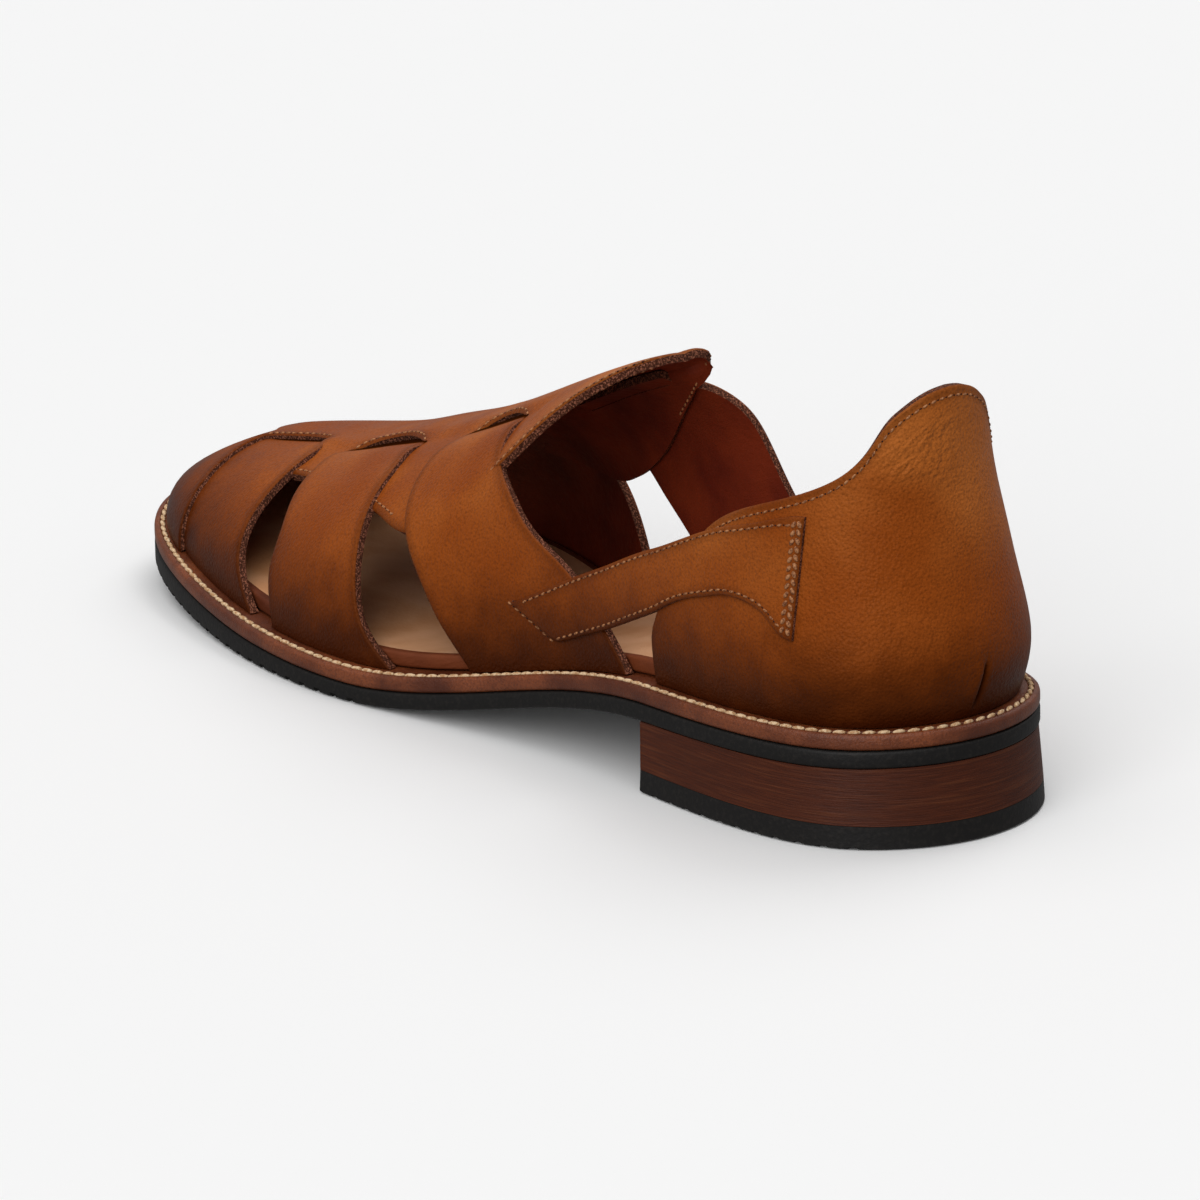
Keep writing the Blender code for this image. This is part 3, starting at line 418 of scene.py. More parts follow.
def side_wall(arc, level):
    """Outer face from the counter to the vamp, at a height above the midsole."""
    foot = base_point(arc)
    full = read(RIDGE, "rise", ridge_station(arc) / SOLE_LENGTH) * INSTEP_HEIGHT
    square = read(SECTION, "square", foot[..., 0] / SOLE_LENGTH)
    share = np.clip(level * COUNTER_HEIGHT / full, 0, 1)
    rise = np.arcsin(share ** (square / 2)) * 2 / np.pi
    towards_vamp = (1 - smoothstep(abs(arc), *SIDE_BLEND))[..., None]
    return vamp(arc, rise) * towards_vamp + counter(arc, level) * (1 - towards_vamp)


def outward(surface, a, b):
    """Outward direction of a surface."""
    step = 0.003
    along = surface(a + step, b) - surface(a - step, b)
    across = surface(a, np.minimum(b + step, 1)) - surface(a, np.maximum(b - step, 0))
    normal = np.cross(along, across)
    length = np.linalg.norm(normal, axis=-1, keepdims=True)
    return np.where(length > 1e-12, normal / np.maximum(length, 1e-12), [0.0, 0.0, 1.0])


def layer(count):
    """Height that layers of leather underneath give to a face."""
    return count * (WALL - SINK)


def by_side(pairs, arc, k):
    return np.where(arc > 0, pairs[1][k], pairs[-1][k])


def band_lift(arc, rise):
    """Layers of leather below the band, and its stand-off at the tongue, as a height."""
    by_ridge = smoothstep(rise, *BY_RIDGE)
    past_cap = smoothstep(abs(arc), CAP_ARC + CAP_FADE / 3, CAP_ARC + CAP_FADE * 4 / 3)
    by_cap = smoothstep(abs(arc), *CAP_RAISE) * (1 - past_cap)
    on_tongue = smoothstep(abs(arc), by_side(TONGUE_RISE, arc, 0), by_side(TONGUE_RISE, arc, 1))
    free = smoothstep(abs(arc), by_side(TONGUE_FREE, arc, 0), by_side(TONGUE_FREE, arc, 1))
    stand = TONGUE_STAND * free * (1 - rise) / (1 - TONGUE_EDGE)
    return layer(np.maximum(np.maximum(by_ridge, by_cap), on_tongue)) + stand


def refined(count):
    """Shares from 0 to 1 with closer ones at both ends, where a leather edge is rounded."""
    close = np.array([0, 0.006, 0.015, 0.028])
    return np.concatenate([close, np.linspace(0.045, 0.955, count), 1 - close[::-1]])


# Colours and materials

def linear(code, alpha=1.0):
    """An sRGB hex colour as linear light."""
    part = np.array([int(code[i:i + 2], 16) for i in (1, 3, 5)]) / 255
    return (*np.where(part <= 0.04045, part / 12.92, ((part + 0.055) / 1.055) ** 2.4), alpha)


def add(tree, kind, inputs=None, **settings):
    """Adds a node; inputs are values or other nodes' outputs, by socket name or number."""
    node = tree.nodes.new("ShaderNode" + kind)
    for key, value in settings.items():
        setattr(node, key, value)
    for key, value in (inputs or {}).items():
        if isinstance(value, bpy.types.NodeSocket):
            tree.links.new(value, node.inputs[key])
        else:
            node.inputs[key].default_value = value
    return node


def new_material(name, **sockets):
    """A material, its tree, its shader and its object coordinates."""
    material = bpy.data.materials.new(name)
    material.use_nodes = True
    tree = material.node_tree
    shader = tree.nodes["Principled BSDF"]
    for key, value in sockets.items():
        shader.inputs[key.replace("_", " ")].default_value = value
    place = add(tree, "TexCoord").outputs["Object"]
    return material, tree, shader, place


def mix(tree, factor, a, b):
    """One colour over another."""
    return add(tree, "Mix", {0: factor, 6: a, 7: b}, data_type="RGBA").outputs[2]


def ramp(tree, value, low, high, to_low=0.0, to_high=1.0):
    """A value's soft step from one level to another."""
    inputs = {"Value": value, "From Min": low, "From Max": high, "To Min": to_low, "To Max": to_high}
    return add(tree, "MapRange", inputs, interpolation_type="SMOOTHSTEP").outputs[0]


def tones(tree, value, low, high, dark, light):
    """A pattern's dark and light colour, with a soft step between two of its levels."""
    return mix(tree, ramp(tree, value, low, high), linear(dark), linear(light))


def stain_and_shade(tree, body, value, low, high, colour, strength, below=0.0):
    """A colour laid over another where a value passes from one level to another: stains, and also painted
    shade.
    """
    return mix(tree, ramp(tree, value, low, high, below, strength), body, linear(colour))


def multiply(tree, a, b):
    return add(tree, "Math", {0: a, 1: b}, operation="MULTIPLY").outputs[0]


def cells_per(millimetres):
    """Scale of a pattern whose cells are that wide."""
    return 1000 / millimetres


def noise(tree, place, millimetres, detail=3.0, roughness=0.55):
    inputs = {"Vector": place, "Scale": cells_per(millimetres), "Detail": detail, "Roughness": roughness}
    return add(tree, "TexNoise", inputs).outputs[0]


def bump(tree, shader, layers):
    """Stacks bumps on a shader: each is a height, its strength and its depth in metres."""
    normal = None
    for height, strength, depth in layers:
        inputs = {"Height": height, "Strength": strength, "Distance": depth}
        if normal:
            inputs["Normal"] = normal
        normal = add(tree, "Bump", inputs).outputs[0]
    tree.links.new(normal, shader.inputs["Normal"])


def paint(tree, shader, colour, layers):
    """Gives a shader its colour and its bumps."""
    tree.links.new(colour, shader.inputs["Base Color"])
    bump(tree, shader, layers)


def calf_leather():
    """Burnished calf: smooth and faintly grained. Darker towards the sole, partly its finish and partly
    painted shade; lighter higher up, partly polish and partly painted highlight. Darker at its cut edges,
    and near black with painted shade where straps dive into slits and in the dart's fold.
    """
    look = bpy.context.scene.sandal_leather
    material, tree, shader, place = new_material(
        "burnished_calf", Specular_Tint=linear(look.sheen))
    height, edge, pull, shade = (add(tree, "Attribute", attribute_name=name).outputs["Fac"]
                                 for name in ("above_mm", "edge_mm", "pull", "shade"))
    patches = noise(tree, place, 38, 2.0)
    clouds = noise(tree, place, 9, 4.0)
    # Darker towards the sole and lighter higher up: partly the calf's finish, partly painted shade below and
    # painted highlight above
    clouded = add(tree, "Math", {0: clouds, 1: 18.0, 2: height}, operation="MULTIPLY_ADD").outputs[0]
    body = tones(tree, clouded, 8.0, 40.0, look.low, look.middle)
    polished_and_lit = multiply(tree, ramp(tree, clouded, 22.0, 70.0), ramp(tree, patches, 0.30, 0.66))
    body = mix(tree, polished_and_lit, body, linear(look.high))
    body = stain_and_shade(tree, body, edge, 0.2, 3.6, look.low, 0.0, 0.45)
    speckle = noise(tree, place, 0.6, 3.0, 0.6)
    body = stain_and_shade(tree, body, speckle, 0.42, 0.72, look.low, 0.36)
    # Painted shade: near black where a strap or bar dives into a slit and in the dart's fold, with its shine
    # taken away as well
    body = stain_and_shade(tree, body, shade, 0.0, 1.0, "#120401", 0.94)
    tree.links.new(body, shader.inputs["Base Color"])
    gloss = ramp(tree, clouds, 0.3, 0.7, look.roughness - 0.05, look.roughness + 0.07)
    tree.links.new(gloss, shader.inputs["Roughness"])
    tree.links.new(ramp(tree, shade, 0.0, 0.6, 0.24, 0.0), shader.inputs["Specular IOR Level"])
    pebble = add(tree, "TexVoronoi", {"Vector": place, "Scale": cells_per(look.grain)},
                 feature="SMOOTH_F1").outputs["Distance"]
    creases = multiply(tree, pull_creases(tree, place), pull)
    bump(tree, shader, [(pebble, 0.75, 0.00026), (noise(tree, place, 0.4, 2.0), 0.5, 0.00016),
                        (noise(tree, place, 14, 2.0), 0.45, 0.0012), (creases, 0.9, 0.0010)])
    return material


def pull_creases(tree, place):
    """Fine creases that climb towards the heel's back: long along one way and narrow across it."""
    turned = add(tree, "Mapping", {"Vector": place, "Rotation": (0, np.radians(-38), np.radians(216)),
                                   "Scale": (9.0, 1.0, 1.0)}, vector_type="TEXTURE").outputs[0]
    return noise(tree, turned, 1.5, 1.5)


def raw_edge():
    """Cut edge of thick leather: fibres that scatter light, dyed brown with paler flecks."""
    look = bpy.context.scene.sandal_leather
    material, tree, shader, place = new_material("raw_leather_edge", Roughness=0.85, Specular_IOR_Level=0.2)
    flecks = noise(tree, place, 0.5, 3.0, 0.7)
    paint(tree, shader, tones(tree, flecks, 0.47, 0.66, look.edge, look.edge_fleck),
          [(flecks, 1.0, 0.0006)])
    return material


def lining(name, dark, light):
    """Flesh side of the leather, dyed and smoothed: soft, dull and slightly creased."""
    material, tree, shader, place = new_material(name, Roughness=0.6, Specular_IOR_Level=0.25)
    clouds = noise(tree, place, 24, 3.0)
    colour = tones(tree, clouds, 0.30, 0.72, dark, light)
    ripples = add(tree, "Mapping", {"Vector": place, "Rotation": (0, 0.35, 0.5), "Scale": (5.0, 1.0, 1.0)},
                  vector_type="TEXTURE").outputs[0]
    paint(tree, shader, colour, [(noise(tree, place, 0.6, 2.0), 0.3, 0.0002),
                                 (noise(tree, ripples, 1.3, 2.0), 0.5, 0.0005)])
    return material


def dyed_rim():
    """Rim of the insole, dyed brown like the lining."""
    return lining("dyed_insole_rim", "#5a2812", "#7c3d1e")


def leather_materials(inside="lining"):
    """Outer face, cut edge and inside of a leather piece."""
    look = bpy.context.scene.sandal_leather
    names = ("burnished_calf", "raw_leather_edge", inside)
    if inside not in bpy.data.materials:
        lining(inside, look.lining, look.lining_light)
    if names[0] not in bpy.data.materials:
        calf_leather()
    if names[1] not in bpy.data.materials:
        raw_edge()
    return [bpy.data.materials[n] for n in names]


def thread(name, light, dark, millimetres):
    """Waxed linen thread: twisted strands that catch the light in a row of small ribs."""
    material, tree, shader, place = new_material(name, Roughness=0.6, Specular_IOR_Level=0.2)
    strands = noise(tree, place, millimetres, 2.0)
    paint(tree, shader, tones(tree, strands, 0.34, 0.62, dark, light), [(strands, 0.8, 0.0002)])
    return material


def welt_leather():
    """Veg-tanned welt, dyed red-brown and waxed along its edge."""
    look = bpy.context.scene.sandal_sole
    material, tree, shader, place = new_material(
        "waxed_welt_leather", Roughness=0.38, Specular_IOR_Level=0.35, Coat_Weight=0.10, Coat_Roughness=0.35)
    clouds = noise(tree, place, 16, 4.0)
    fibres = noise(tree, place, 0.6, 3.0, 0.65)
    body = tones(tree, clouds, 0.30, 0.70, look.welt_dark, look.welt)
    body = stain_and_shade(tree, body, fibres, 0.42, 0.70, look.welt_dark, 0.6)
    paint(tree, shader, body, [(fibres, 0.8, 0.0004)])
    return material


def footbed_leather():
    """Undyed calf insole: pale, smooth and dry."""
    look = bpy.context.scene.sandal_sole
    material, tree, shader, place = new_material(
        "natural_insole_leather", Roughness=0.55, Specular_IOR_Level=0.3)
    clouds = noise(tree, place, 22, 4.0)
    paint(tree, shader, tones(tree, clouds, 0.3, 0.7, look.footbed_dark, look.footbed),
          [(noise(tree, place, 0.8, 3.0), 0.3, 0.0002)])
    return material


def stacked_leather():
    """Stack of sole leather, sanded flush and dyed: thin level lines with fine scratches."""
    look = bpy.context.scene.sandal_sole
    material, tree, shader, place = new_material(
        "stacked_heel_leather", Roughness=0.5, Specular_IOR_Level=0.2)
    stretched = add(tree, "Mapping", {"Vector": place, "Scale": (0.035, 0.035, 1.0)}).outputs[0]
    fibres = noise(tree, stretched, 0.25, 3.0, 0.6)
    lines = noise(tree, stretched, 0.6, 2.0, 0.5)
    clouds = noise(tree, place, 30, 3.0)
    body = tones(tree, fibres, 0.36, 0.66, look.stack_dark, look.stack)
    body = stain_and_shade(tree, body, lines, 0.50, 0.70, look.stack_light, 0.5)
    body = stain_and_shade(tree, body, clouds, 0.35, 0.7, look.stack_dark, 0.35)
    paint(tree, shader, body, [(fibres, 0.6, 0.0004), (lines, 0.3, 0.0004)])
    return material


def black_rubber():
    """Moulded rubber: dull black with a trace of dust in its fine texture."""
    look = bpy.context.scene.sandal_sole
    material, tree, shader, place = new_material("moulded_rubber", Roughness=0.55, Specular_IOR_Level=0.3)
    dust = noise(tree, place, 1.1, 4.0)
    body = stain_and_shade(tree, linear(look.rubber), dust, 0.45, 0.75, look.rubber_worn, 0.7)
    paint(tree, shader, body, [(dust, 0.5, 0.0003)])
    return material


# Making of meshes

def deselect():
    bpy.ops.object.select_all(action="DESELECT")


def activate(piece):
    deselect()
    piece.select_set(True)
    bpy.context.view_layer.objects.active = piece


def new_piece(name, verts, faces, materials=()):
    """A piece from its points and faces."""
    mesh = bpy.data.meshes.new(name)
    mesh.from_pydata(verts, [], faces)
    for material in materials:
        mesh.materials.append(material)
    piece = bpy.data.objects.new(name, mesh)
    bpy.context.collection.objects.link(piece)
    activate(piece)
    return piece


def edit_all(piece, tool, **settings):
    """Runs one of the edit mode's tools on the whole piece."""
    activate(piece)
    bpy.ops.object.mode_set(mode="EDIT")
    bpy.ops.mesh.select_all(action="SELECT")
    tool(**settings)
    bpy.ops.object.mode_set(mode="OBJECT")


def turn_outwards(piece):
    edit_all(piece, bpy.ops.mesh.normals_make_consistent, inside=False)


def merge_doubles(piece, distance=1e-5):
    edit_all(piece, bpy.ops.mesh.remove_doubles, threshold=distance)


def apply_modifier(piece, kind, **settings):
    """Adds a modifier and applies it."""
    activate(piece)
    step = piece.modifiers.new(kind.lower(), kind)
    for key, value in settings.items():
        setattr(step, key, value)
    bpy.ops.object.modifier_apply(modifier=step.name)


def smooth(piece, angle=40):
    activate(piece)
    bpy.ops.object.shade_smooth_by_angle(angle=np.radians(angle))


def register_piece(piece, slot, *nodes):
    """The piece moves with the shoe and stands for frame nodes. Its slot, a record's finish, is not used."""
    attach(piece, "root")
    if nodes:
        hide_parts(*nodes)
    return piece


def set_attribute(piece, name, values):
    attribute = piece.data.attributes.get(name) or piece.data.attributes.new(name, "FLOAT", "POINT")
    attribute.data.foreach_set("value", np.asarray(values, np.float32).ravel())


def border_distance(points, kept, free):
    """Distance of each grid point from the free borders of the faces that are kept."""
    padded = np.pad(kept, 1)
    around = np.stack([padded[:-1, :-1], padded[1:, :-1], padded[:-1, 1:], padded[1:, 1:]])
    border = around.any(0) & ~around.all(0) & free
    marks = points[border]
    distance = np.full(points.shape[:2], 1.0)
    for i, row in enumerate(points):
        gaps = np.linalg.norm(row[:, None] - marks[None], axis=-1)
        distance[i] = gaps.min(1)
    return distance


def delete_faces(piece, chosen):
    """Deletes the faces of a mask."""
    activate(piece)
    bpy.ops.object.mode_set(mode="EDIT")
    bpy.ops.mesh.select_mode(type="FACE")
    bpy.ops.mesh.select_all(action="DESELECT")
    bpy.ops.object.mode_set(mode="OBJECT")
    piece.data.polygons.foreach_set("select", chosen.ravel())
    bpy.ops.object.mode_set(mode="EDIT")
    bpy.ops.mesh.delete(type="FACE")
    bpy.ops.object.mode_set(mode="OBJECT")


def leather_sheet(name, surface, a, b, lift, materials, seated,
                  kept=None, folded=False, pull=None, shade=None):
    """A sheet of leather laid on the last: a grid is bent to shape, cut out and given its wall.

    seated marks the points that stand on the midsole, and kept the faces that aren't cut out."""
    normal = outward(surface, a, b)
    points = surface(a, b) + normal * lift[..., None]
    rows, columns = points.shape[:2]
    kept = np.ones((rows - 1, columns - 1), bool) if kept is None else kept
    pull = np.zeros((rows, columns)) if pull is None else pull
    shade = np.zeros((rows, columns)) if shade is None else shade
    free = ~seated
    if folded:
        free[0] = False
    edge = border_distance(points, kept, free)
    drop = np.maximum(LEATHER_EASE - edge, 0)
    ease = normal * (drop ** 2 / LEATHER_EASE * EASE_DEPTH)[..., None]
    above = points[..., 2] - seat(points[..., 0])
    if seated.any():
        points[..., 2] = np.maximum(points[..., 2], seat(points[..., 0]) + GAP + SEAT_CLEARANCE * b)
    grids = [points, ease, edge, above, pull, shade, kept]
    facing = np.cross(points[:-1, 1:] - points[:-1, :-1], points[1:, :-1] - points[:-1, :-1])
    if (facing * normal[:-1, :-1]).sum() < 0:
        grids = [grid[:, ::-1] for grid in grids]
    points, ease, edge, above, pull, shade, kept = grids
    deselect()
    bpy.ops.mesh.primitive_grid_add(x_subdivisions=columns - 1, y_subdivisions=rows - 1, size=1)
    piece = bpy.context.active_object
    piece.name = piece.data.name = name
    piece.data.vertices.foreach_set("co", (points - ORIGIN).astype(np.float32).ravel())
    for material in materials:
        piece.data.materials.append(material)
    by_name = {"ease_" + axis: values for axis, values in zip("xyz", np.moveaxis(ease, -1, 0))}
    by_name |= {"edge_mm": edge * 1000, "above_mm": above * 1000, "pull": pull, "shade": shade}
    for key, values in by_name.items():
        set_attribute(piece, key, values)
    if not kept.all():
        delete_faces(piece, ~kept)
    if folded:
        merge_doubles(piece)
    outer_count = len(piece.data.vertices)
    apply_modifier(piece, "SOLIDIFY", thickness=WALL, offset=-1, use_rim=True,
                   material_offset=2, material_offset_rim=1)
    round_edges(piece, outer_count)
    smooth(piece)
    return piece


def round_edges(piece, outer_count):
    """Moves the outer face's points in by what their ease attributes hold, and drops those."""
    mesh = piece.data
    places = np.zeros(3 * len(mesh.vertices), np.float32)
    mesh.vertices.foreach_get("co", places)
    places = places.reshape(-1, 3)
    for k, axis in enumerate("xyz"):
        moved = np.zeros(len(mesh.vertices), np.float32)
        mesh.attributes["ease_" + axis].data.foreach_get("value", moved)
        places[:outer_count, k] -= moved[:outer_count]
        mesh.attributes.remove(mesh.attributes["ease_" + axis])
    mesh.vertices.foreach_set("co", places.ravel())
    mesh.update()


def strap_columns(rows, places):
    """All columns of a strap's table at places between its rows."""
    index = np.arange(len(next(iter(rows.values()))))
    return {name: spline(index, column, places) for name, column in rows.items()}


def strap_grid(name, side, rows_at, shares):
    """Arcs, rises and lifts of a strap's grid."""
    row = {key: value[:, None] for key, value in strap_columns(STRAPS[(name, side)], rows_at).items()}
    arc = side * (row["front"] * (1 - shares) + row["rear"] * shares)
    rise = row["front_rise"] * (1 - shares) + row["rear_rise"] * shares
    lift = row["front_lift"] * (1 - shares) + row["rear_lift"] * shares
    return arc, rise, layer(lift)


def build_strap(name, side):
    """One strap, from its foot on the midsole up to its end below the band."""
    rows, columns = STRAP_GRID
    places = np.linspace(0, len(STRAPS[(name, side)]["front"]) - 1, rows)
    arc, rise, lift = strap_grid(name, side, places, refined(columns)[None, :])
    seated = np.zeros(arc.shape, bool)
    seated[0] = True
    # Painted shade where the strap dives into its slit
    slit_shade = smoothstep(places, SLIT_ROW - 0.25, SLIT_ROW + 0.10)[:, None] + 0 * arc
    return leather_sheet(f"{name}_strap_{SIDES[side]}", vamp, arc, rise, lift, leather_materials(),
                         seated, shade=slit_shade)


def slit_line(name, side):
    """Lens-shaped slit in the band, into which a strap dives: its arcs and its two lips."""
    row = {key: column[SLIT_ROW] for key, column in STRAPS[(name, side)].items()}
    share = np.linspace(*SLIT_ENDS, 25)
    arcs = row["front"] * (1 - share) + row["rear"] * share
    low = row["front_rise"] * (1 - share) + row["rear_rise"] * share
    half, step = len(arcs) // 2, 0.05
    middle = arcs[half] * side
    rib = np.linalg.norm(vamp(middle, low[half] + step) - vamp(middle, low[half])) / step
    lens = np.sin(np.pi * np.linspace(0, 1, len(share))) ** 0.6
    return arcs, low, low + LENS_OPENING / rib * lens


def openings(side):
    """Openings in one side of the band, from the toe backwards."""
    shift = 1 if side > 0 else INNER_NOTCH
    notch = NOTCH["arc"] * shift, NOTCH["low"], NOTCH["high"]
    return [notch, slit_line("middle", side), slit_line("instep", side)]


def lips(arc, edge, side):
    """Where the lower and upper lips of the openings cross the band, as shares of its width."""
    arcs, low, high = (np.concatenate(lines) for lines in zip(*openings(side)))
    below = np.clip((np.interp(arc, arcs, low) - edge) / (1 - edge), 0.03, 0.84)
    above = np.clip((np.interp(arc, arcs, high) - edge) / (1 - edge), below + 0.006, 0.90)
    return below, above


def band_rows():
    """Arcs of the band's rows, with one at each end of every opening."""
    start, end = BAND_EDGE["arc"][0], BAND_EDGE["arc"][-1]
    ends = [line[0][k] for line in openings(1) for k in (0, -1)]
    ends += [float(fan_arc(ridge_station(-line[0][k]), 1)) for line in openings(-1) for k in (0, -1)]
    close = np.array([0.0009, 0.0021])
    fixed = [0, *(CAP_ARC - close), CAP_ARC, start, *(end - close), end, *ends]
    fixed += [ends[1] + close[0], ends[1] + close[1], ends[7] + close[0], ends[7] + close[1]]
    even = np.concatenate([np.linspace(0, CAP_ARC, BAND_GRID[0]), np.linspace(start, end, BAND_GRID[1])])
    apart = np.abs(even[:, None] - np.array(fixed)).min(1) > 0.0012
    return np.unique(np.concatenate([even[apart], fixed]).round(6))


def band_columns(below, above):
    """Shares of the band's half width, with columns on both lips of the openings."""
    close = np.array([0, 0.012, 0.03])
    outer_part = np.concatenate([close, np.linspace(0.08, 0.92, 12), 1 - close[:0:-1]])
    slit_part = np.array([0, 0.08, 0.5, 0.92])
    ridge_part = np.concatenate([[0, 0.03, 0.08], np.linspace(0.18, 1, 10)])
    below, above = below[:, None], above[:, None]
    return np.concatenate([below * outer_part, below + (above - below) * slit_part,
                           above + (1 - above) * ridge_part], 1), len(outer_part), len(slit_part)


def build_band():
    """Central band: toe cap, the lobes between the straps and the tongue, in one piece."""
    rows = band_rows()
    halves, masks = [], []
    for side, edge_column in SIDES.items():
        arc = rows if side > 0 else np.where(rows > 0, fan_arc(ridge_station(rows), -1), 0)
        edge = np.where(rows <= CAP_ARC, 0, read(BAND_EDGE, edge_column, rows))
        share, lower, slit = band_columns(*lips(arc, edge, side))
        rise = edge[:, None] + (1 - edge[:, None]) * share
        kept = np.ones((len(rows) - 1, share.shape[1] - 1), bool)
        small = 1e-5
        for k, (arcs, *_) in enumerate(openings(side)):
            inside = (arc[:-1] > arcs[0] - small) & (arc[1:] < arcs[-1] + small)
            kept[inside, lower:lower + slit] = False
            if k == 0:
                behind_cap = (rows[:-1] > CAP_ARC - small) & (arc[1:] < arcs[-1] + small)
                kept[behind_cap, :lower + slit] = False
        halves.append((side * arc[:, None] + 0 * rise, rise))
        masks.append(kept)
    arc = np.concatenate([halves[0][0], halves[1][0][:, -2::-1]], 1)
    rise = np.concatenate([halves[0][1], halves[1][1][:, -2::-1]], 1)
    kept = np.concatenate([masks[0], masks[1][:, ::-1]], 1)
    return leather_sheet("band", vamp, arc, rise, band_lift(arc, rise), leather_materials("tongue_lining"),
                         rise == 0, kept, folded=True)


def cut(piece, cutter):
    """Cuts a solid out of a piece."""
    apply_modifier(piece, "BOOLEAN", object=cutter, operation="DIFFERENCE", solver="EXACT")
    bpy.data.objects.remove(cutter, do_unlink=True)


def top_level(reach):
    """Counter's top line as a smooth curve."""
    return spline(TOPLINE["reach"], TOPLINE["level"], abs(reach))


def build_counter():
    """One-piece heel counter, from one front edge round the back to the other, with its dart."""
    by_dart = DART_REACH + np.linspace(-0.03, 0.03, 25)
    rows, columns = COUNTER_GRID
    reach = np.unique(np.concatenate([2 * refined(rows) - 1, by_dart]).round(5))[:, None]
    share = np.concatenate([np.linspace(0, 0.94, columns), [0.960, 0.975, 0.986, 0.994, 1.0]])[None, :]
    level = share * top_level(reach)
    arc = 1 - reach * COUNTER_LENGTH / HALF_GIRTH + 0 * share
    behind = 1 - smoothstep(abs(reach - PULL_REACH), 0.06, 0.20)
    pull = smoothstep(level, 0.66, 0.78) * behind * (1 - smoothstep(share, 0.90, 0.96))
    along = np.clip((level - DART_LEVELS[0]) / (DART_LEVELS[1] - DART_LEVELS[0]), 0, 1)
    across = (reach - DART_REACH - DART_LEAN * (along - 0.5)) * COUNTER_LENGTH
    inside = smoothstep(level, DART_LEVELS[0] - 0.03, DART_LEVELS[0] + 0.03)
    inside = inside * (1 - smoothstep(level, DART_LEVELS[1] - 0.05, DART_LEVELS[1]))
    fold = np.exp(-(across / DART_WIDTH) ** 2) * inside
    swelling = np.exp(-((across - 2.2 * DART_WIDTH) / (1.8 * DART_WIDTH)) ** 2) * inside
    lift = DART_DEPTH * (0.5 * swelling - fold)
    seated = np.zeros(arc.shape, bool)
    seated[:, 0] = True
    # The dart's fold is darkened with painted shade
    return leather_sheet("counter", wrapped_side_wall, arc, level, lift,
                         leather_materials(), seated, pull=pull, shade=0.8 * fold)


def wrapped_side_wall(arc, level):
    """The side wall for arcs that run on past the heel's back, up to 2 at the toe's inner side."""
    return side_wall(np.where(arc > 1, arc - 2, arc), level)


def bar_rows(side):
    return BAR if side > 0 else {key: column[:BAR_INNER_ROWS] for key, column in BAR.items()}


def bar_grid(side, places, shares):
    """Arcs, levels and lifts of a side bar's grid."""
    rows = bar_rows(side)
    last = len(rows["arc"]) - 1
    row = {key: value[:, None] for key, value in strap_columns(rows, places).items()}
    lift = row["lift"]
    if side < 0:
        lift = lift - np.maximum(places[:, None] - (last - 2), 0)
    level = row["low"] * (1 - shares) + row["high"] * shares
    return side * (row["arc"] - row["ahead"] * shares), level, layer(lift) + 0 * shares


def build_bar(side):
    """Bar from the counter forwards into the instep strap."""
    last = len(bar_rows(side)["arc"]) - 1
    rows, columns = BAR_GRID
    places = last * np.concatenate([[0, 0.004, 0.010, 0.018], np.linspace(0.03, 1, rows)])
    arc, level, lift = bar_grid(side, places, refined(columns)[None, :])
    # Painted shade where the bar's front end dives into its slit
    slit_shade = smoothstep(places, last - 1.4, last - 1.0)[:, None] + 0 * arc
    return leather_sheet(f"side_bar_{SIDES[side]}", side_wall, arc, level, lift, leather_materials(),
                         np.zeros(arc.shape, bool), shade=slit_shade)


# Stitches

def bead():
    """One stitch, modelled once: a short rounded rib, 1 long and 1 wide."""
    deselect()
    bpy.ops.mesh.primitive_uv_sphere_add(segments=8, ring_count=5, radius=0.5)
    piece = bpy.context.active_object
    edit_all(piece, bpy.ops.transform.rotate, value=np.pi / 2, orient_axis="Y", center_override=(0, 0, 0))
    places = np.array([v.co for v in piece.data.vertices])
    faces = [tuple(p.vertices) for p in piece.data.polygons]
    bpy.data.objects.remove(piece, do_unlink=True)
    return places, faces


def spaced(points, normals, pitch, phase):
    """Places, directions and normals at an even pitch along a line."""
    run = np.concatenate([[0], np.cumsum(np.linalg.norm(np.diff(points, axis=0), axis=1))])
    count = max(int(run[-1] / pitch), 2)
    at = (np.arange(count) + 0.5 + phase) * run[-1] / count

    def along(values, where):
        return np.stack([np.interp(where, run, values[:, k]) for k in range(3)], -1)

    at = at[at < run[-1]]
    ahead = along(points, at + pitch / 4) - along(points, at - pitch / 4)
    return along(points, at), ahead / np.linalg.norm(ahead, axis=1)[:, None], along(normals, at)


def stitch_lines(name, lines, pitch, thread_width, length, material, slant=0.0, sink=0.25, phase=0.0):
    """Rows of stitches joined in one piece, each row a line of points and normals."""
    shape, faces = bead()
    verts, joined = [], []
    for points, normals in lines:
        places, ahead, normal = spaced(points, normals, pitch, phase)
        side = np.cross(normal, ahead)
        side /= np.linalg.norm(side, axis=1)[:, None]
        turned = ahead * np.cos(slant) + side * np.sin(slant)
        side = side * np.cos(slant) - ahead * np.sin(slant)
        places = places + normal * thread_width * (0.5 - sink)
        for k in range(len(places)):
            start = len(verts)
            local = (shape[:, :1] * turned[k] * length * pitch + shape[:, 1:2] * side[k] * thread_width
                     + shape[:, 2:] * normal[k] * thread_width)
            verts.extend(places[k] + local - ORIGIN)
            joined.extend(tuple(start + i for i in face) for face in faces)
    piece = new_piece(name, [tuple(map(float, v)) for v in verts], joined, [material])
    bpy.ops.object.shade_smooth()
    return piece


def line_on(surface, a, b, lift=0.0):
    """A line on a surface, as points and normals."""
    normal = outward(surface, a, b)
    return surface(a, b) + normal * np.asarray(lift)[..., None], normal


